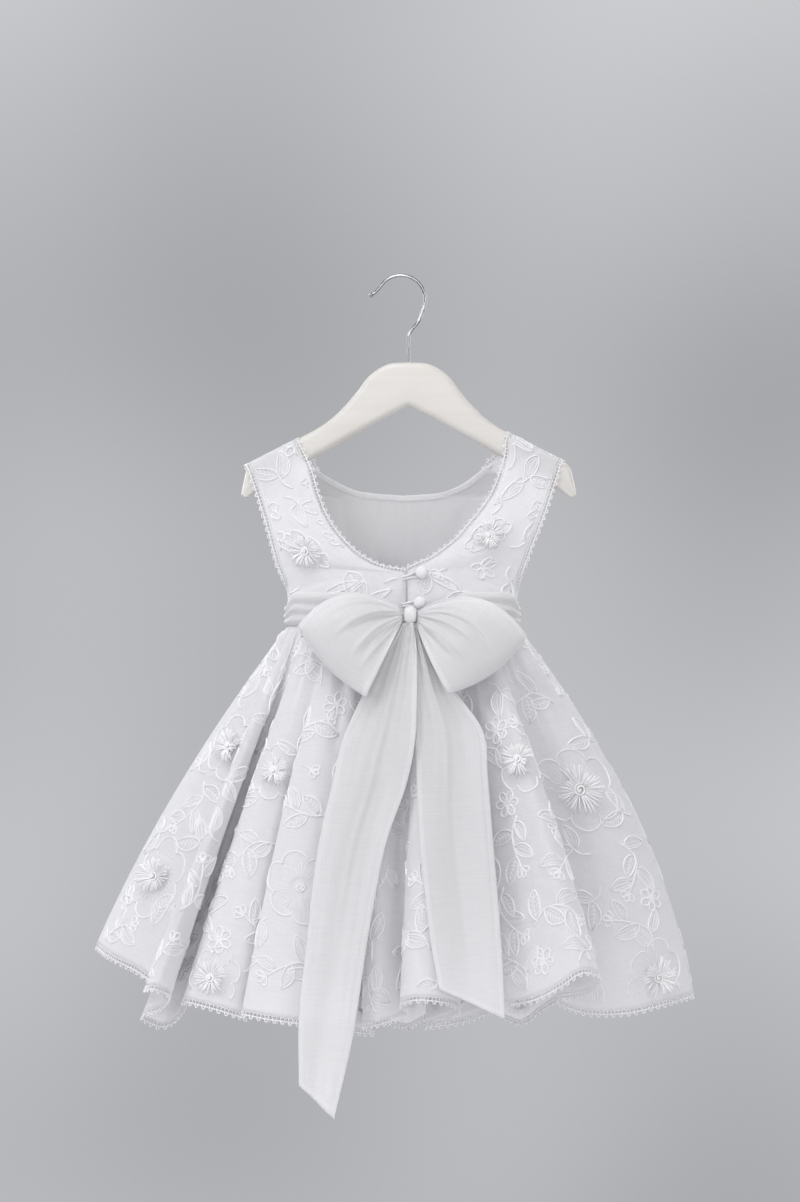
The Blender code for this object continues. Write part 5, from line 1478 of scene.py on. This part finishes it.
# How far a loop's fold leans out, and how much more its lower corner does.
LOOP_LEAN, LOOP_TILT = 3.0, 20.0
ROOT_PLEATS = [
    # height, half waves across, how far out they are full, begin to fade and end
    (1.6, 5.0, 0.15, 0.25, 0.8), (0.6, 13.0, 0.10, 0.15, 0.55),
]
LOOP_AROUND, LOOP_ACROSS = 121, 65
LOOP_CREASES = {
    # across, drift over the loop's length, half width, depth, from and to along the loop
    LEFT: [
        (0.16, 0.05, 0.035, 1.6, 0.05, 0.75), (0.3, 0.1, 0.03, -2.0, 0.05, 0.85),
        (0.44, 0.02, 0.035, 1.7, 0.1, 0.65), (0.58, 0.12, 0.03, -1.8, 0.05, 0.8),
        (0.72, 0.04, 0.035, 1.6, 0.05, 0.7), (0.86, -0.06, 0.03, -1.4, 0.1, 0.8),
    ],
    RIGHT: [
        (0.14, 0.06, 0.035, -1.7, 0.05, 0.7), (0.27, 0.16, 0.03, 2.4, 0.05, 0.9),
        (0.42, 0.08, 0.035, -2.0, 0.05, 0.75), (0.55, 0.02, 0.03, 1.6, 0.1, 0.6),
        (0.68, -0.04, 0.035, -1.7, 0.05, 0.8), (0.84, -0.1, 0.035, 1.8, 0.05, 0.7),
    ],
}
HEM_TURN, HEM_STEP, HEM_BLUR = 4.5, 0.3, 0.4


def loop_point(side, around, across):
    """A point of a bow loop: 'around' goes out on the near side, over the fold and back behind."""
    root_top, root_foot, fold_top, fold_foot, (bow_top, bow_foot, bow_fold) = LOOPS[side]
    root_top, root_foot, fold_top, fold_foot = map(np.array, (root_top, root_foot, fold_top, fold_foot))
    turn = math.pi * around
    out = math.sin(turn) ** 0.75 if 0.0 < around < 1.0 else 0.0
    chord = unit(fold_foot - fold_top)
    fold_out = np.array((side * abs(chord[1]), -abs(chord[0])))
    root = mix(root_top, root_foot, across)
    fold = mix(fold_top, fold_foot, across) + fold_out * bow_fold * 4.0 * across * (1.0 - across)
    spine = unit(fold - root)
    lift = np.array((-spine[1] * side, spine[0] * side))
    x, z = mix(root, fold, out) + lift * mix(bow_top, -bow_foot, across) * 4.0 * out * (1.0 - out)
    pleat = 0.0
    for height, waves, full, fades, ends in ROOT_PLEATS:
        pleat += height * math.sin(waves * math.pi * across) * between(out, 0.0, full, fades, ends)
    for at, drift, width, depth, start, stop in LOOP_CREASES[side]:
        fade = between(out, start, start + 0.15, stop - 0.25, stop)
        pleat += depth * fade * math.exp(-(((across - at - drift * out) / width) ** 2))
    opened = ease(out, 0.0, 0.6)
    if around < 0.5:
        puffed = LOOP_PUFF * mix(0.16, 1.0, opened) * (0.6 + 1.6 * across * (1.0 - across))
    else:
        puffed, pleat = LOOP_BEHIND * mix(0.35, 1.0, opened), 0.4 * pleat
    y = ROOT_Y - LOOP_LEAN * out - LOOP_TILT * out * across - puffed * math.cos(turn) + pleat
    return x, y, z


def turned_hems(grid, foot=False):
    """Doubles the cloth along its long edges, and along its foot if asked: a small step outwards."""
    run = grid_runs(grid, 0)
    near = np.minimum(run, run[-1] - run)
    if foot:
        run = grid_runs(grid, 1)
        near = np.minimum(near, run[:, -1:] - run)
    raised = 1.0 - ease(near, HEM_TURN - HEM_BLUR, HEM_TURN + HEM_BLUR)
    return grid + squares(grid) * (raised * HEM_STEP)[:, :, None], raised


arounds, acrosses = np.linspace(0.0, 1.0, LOOP_AROUND), np.linspace(0.0, 1.0, LOOP_ACROSS)
for side, name in SIDE_NAMES.items():
    grid = np.array([[loop_point(side, around, across) for around in arounds] for across in acrosses])
    grid, hem = turned_hems(grid)
    piece = cloth_piece("bow_loop_%s_organza" % name, [grid], ORGANZA_SHOWN, organza, hem=hem)
    joins_gown(piece, "organza", "bow_loop_" + name)


# --- Knot ------------------------------------------------------------------------------------------
# The short turn of sash that is drawn tight over the gathered loops, in fine upright pleats.

KNOT_SIZE = (12.6, 14.0, 15.6)
bpy.ops.mesh.primitive_uv_sphere_add(segments=56, ring_count=32, radius=0.5)
knot = bpy.context.object
knot.name = "bow_knot_organza"
for vertex in knot.data.vertices:
    x, y, z = vertex.co
    drawn_in = 1.0 - 0.06 * math.cos(5.0 * z)
    pleats = 1.0 - 0.10 * math.cos(8.0 * x) + 0.08 * math.sin(34.0 * (x + 0.10 * z)) * (1.0 - 3.2 * z * z)
    squareness = min(1.0 + 0.35 * (1.0 - 4.0 * z * z) * 4.0 * x * x, 1.12)
    vertex.co = (np.array((x * drawn_in, y * pleats, z * squareness)) * KNOT_SIZE + KNOT_CENTRE) * MM
bpy.ops.object.shade_smooth()
knot.data.materials.append(folded_organza)
joins_gown(knot, "organza", "bow_knot")


# --- Tails -----------------------------------------------------------------------------------------
# The sash's two free ends, hemmed on three sides and cut to a slant, hanging down over the skirt.

TAIL_CLEAR = 6.5
TAIL_TOP_Y, TAIL_FORWARD = -48.1, 0.8
LEFT_OVER_RIGHT = 3.6
# The ridges of the skirt that the tails hang off: their drop, how far they stand out, and their swell.
RIDGE_DROP, RIDGE_OUT, RIDGE_SWELL = 345.0, 78.0, 0.12
TAILS = {
    # left edge x, z and right edge x, z
    LEFT: [
        (1.6, -310.8, 11.0, -310.8), (-14.2, -335.1, 14.0, -335.1), (-35.4, -377.5, 14.0, -380.0),
        (-52.1, -416.1, 12.0, -418.7), (-61.6, -457.1, 4.0, -456.0), (-73.7, -512.6, -13.6, -507.0),
        (-82.1, -585.8, -28.8, -585.8), (-88.7, -652.5, -41.8, -669.9), (-88.7, -712.5, -58.3, -742.0),
    ],
    RIGHT: [
        (9.0, -311.8, 14.8, -311.8), (10.9, -331.0, 25.0, -331.0), (11.6, -370.0, 47.8, -370.4),
        (12.3, -409.9, 72.5, -407.0), (13.8, -452.0, 76.6, -447.0), (15.8, -498.8, 80.6, -500.0),
        (24.4, -579.8, 87.3, -585.8), (33.1, -629.5, 90.4, -655.1),
    ],
}
TAIL_ROWS, TAIL_COLUMNS = 141, 49
TAIL_CREASES = {
    # across at the top and at the bottom, half width, depth, from and to down the tail
    LEFT: [
        (0.3, 0.22, 0.06, 1.5, 0.02, 0.6), (0.55, 0.48, 0.05, -1.6, 0.02, 0.8),
        (0.78, 0.74, 0.05, 1.3, 0.02, 0.45), (0.12, 0.1, 0.04, -0.9, 0.3, 0.95),
        (0.65, 0.8, 0.05, 1.0, 0.45, 0.98),
    ],
    RIGHT: [
        (0.25, 0.18, 0.05, 1.6, 0.02, 0.65), (0.48, 0.4, 0.05, -1.7, 0.02, 0.75),
        (0.72, 0.7, 0.06, 1.5, 0.02, 0.6), (0.88, 0.9, 0.04, -0.9, 0.2, 0.9),
        (0.35, 0.52, 0.05, 0.9, 0.5, 0.98),
    ],
}


def tail_y(z):
    """Where a tail hangs: below the knot, then just off the skirt's ridges, and down past the hem."""
    down = float(np.clip((SKIRT_TOP - z) / RIDGE_DROP, 0.0, 1.0))
    on_skirt = -(WAIST_HALF_DEPTH + RIDGE_OUT * (down + RIDGE_SWELL * down * (1.0 - down)) + TAIL_CLEAR)
    return min(on_skirt, TAIL_TOP_Y)


def tail_point(side, edges, across, down):
    """A point of a tail, on the line between its two edges."""
    left_x, left_z, right_x, right_z = edges
    x, z = mix(left_x, right_x, across), mix(left_z, right_z, across)
    fold = 1.6 * math.sin(2.0 * math.pi * (1.5 * across + 0.6 * down)) * ease(down, 0.0, 0.25)
    fold += 0.7 * math.sin(2.0 * math.pi * 5.5 * across) * between(down, 0.0, 0.04, 0.04, 0.30)
    for top, foot, width, depth, start, stop in TAIL_CREASES[side]:
        fade = between(down, start, start + 0.12, stop - 0.2, stop)
        fold += depth * fade * math.exp(-(((across - mix(top, foot, down)) / width) ** 2))
    if side == LEFT:
        fold -= LEFT_OVER_RIGHT * ease(across, 0.5, 0.8) * (1.0 - ease(down, 0.35, 0.55))
    return x, tail_y(z) - TAIL_FORWARD + fold, z


downs, acrosses = np.linspace(0.0, 1.0, TAIL_ROWS), np.linspace(0.0, 1.0, TAIL_COLUMNS)
for side, name in SIDE_NAMES.items():
    edges = through(np.linspace(0.0, 1.0, len(TAILS[side])), TAILS[side], downs)
    grid = [[tail_point(side, row, across, down) for row, down in zip(edges, downs)] for across in acrosses]
    grid, hem = turned_hems(np.array(grid), foot=True)
    piece = cloth_piece("sash_tail_%s_organza" % name, [grid], ORGANZA_SHOWN, organza, hem=hem)
    joins_gown(piece, "organza", "sash_tail_" + name)


# --- Buttons ---------------------------------------------------------------------------------------
# Two domed metal buttons covered with the voile. Each closes through a rouleau loop, a narrow
# turned tube of the same cloth that is caught in the other edge.

BUTTON_PROFILE = [
    # radius, height
    (0.0, 7.0), (1.2, 6.95), (2.3, 6.65), (3.6, 6.15), (4.6, 5.4), (5.3, 4.4), (5.5, 3.7), (5.4, 3.1),
    (4.8, 2.6), (3.2, 2.35), (1.7, 2.2), (1.6, 1.2), (1.6, 0.0), (0.0, 0.0),
]
SHANK_RADIUS, LOOP_CORD, LOOP_CLEAR = 1.6, 1.0, 0.1
BUTTON_LIFT = 0.5 * COTTON_WALL + GAP
BUTTONS = {
    # button x, z and the loop's root x, z
    "upper": (18.4, -266.4, 0.6, -271.6),
    "lower": (16.6, -293.2, 0.6, -295.2),
}
BUTTON_STEPS, TUCKS, TUCK_DEPTH = 40, 9.0, 0.02
SEARCH_STEPS = 41


def back_surface_y(x, z):
    """How far out the right back half lies at x and z."""
    shares = np.linspace(0.5, 1.0, SEARCH_STEPS)
    points = np.vstack([bodice_row(RIGHT, BACK, shares, down) for down in shares])
    return points[np.hypot(points[:, 0] - x, points[:, 2] - z).argmin(), 1]


for name, (x, z, root_x, root_z) in BUTTONS.items():
    base_y = back_surface_y(x, z) - BUTTON_LIFT
    points = []
    for radius, height in BUTTON_PROFILE[1:-1]:
        for turn in 2.0 * math.pi * np.arange(BUTTON_STEPS) / BUTTON_STEPS:
            tucked = radius * (1.0 - TUCK_DEPTH * math.sin(TUCKS * turn) * ease(5.0 - height, 0.0, 2.0))
            points.append((x + tucked * math.cos(turn), base_y - height, z + tucked * math.sin(turn)))
    top, bottom, last = len(points), len(points) + 1, len(points) - BUTTON_STEPS
    points = np.array(points + [(x, base_y - BUTTON_PROFILE[0][1], z), (x, base_y, z)])
    work = new_work()
    add_part(work, points, grid_faces(len(BUTTON_PROFILE) - 2, BUTTON_STEPS, True), points[:, [0, 2]] * MM)
    steps = [(i, (i + 1) % BUTTON_STEPS) for i in range(BUTTON_STEPS)]
    work["faces"].append(np.array([(top, i, after) for i, after in steps]))
    work["faces"].append(np.array([(bottom, last + after, last + i) for i, after in steps]))
    cover = mesh_piece("button_cover_" + name, work, voile)
    made_active(cover)
    edited(bpy.ops.mesh.normals_make_consistent, inside=False)
    joins_gown(cover, "embroidered_cotton", "button_" + name)

    button, root = np.array((x, z)), np.array((root_x, root_z))
    ahead = unit(button - root)
    beside = np.array((-ahead[1], ahead[0]))
    round_shank = SHANK_RADIUS + GAP + LOOP_CORD
    offsets = [(root, 1.1), (mix(root, button, 0.3), 1.2), (button - 5.0 * ahead, 2.1)]
    route = [point + beside * width for point, width in offsets]
    for turn in np.radians(range(90, -91, -30)):
        route.append(button + round_shank * (ahead * math.cos(turn) + beside * math.sin(turn)))
    route += [point - beside * width for point, width in reversed(offsets)]
    cord_y = base_y - LOOP_CORD - LOOP_CLEAR
    smooth = through_points([(a, cord_y, b) for a, b in route], 56)
    rouleau = wire_piece("rouleau_" + name, smooth, LOOP_CORD, 3)
    rouleau.data.materials.append(voile)
    joins_gown(rouleau, "embroidered_cotton", "button_loop_" + name)


# --- Last update -----------------------------------------------------------------------------------
# Brings the scene's transforms up to date.

bpy.context.view_layer.update()
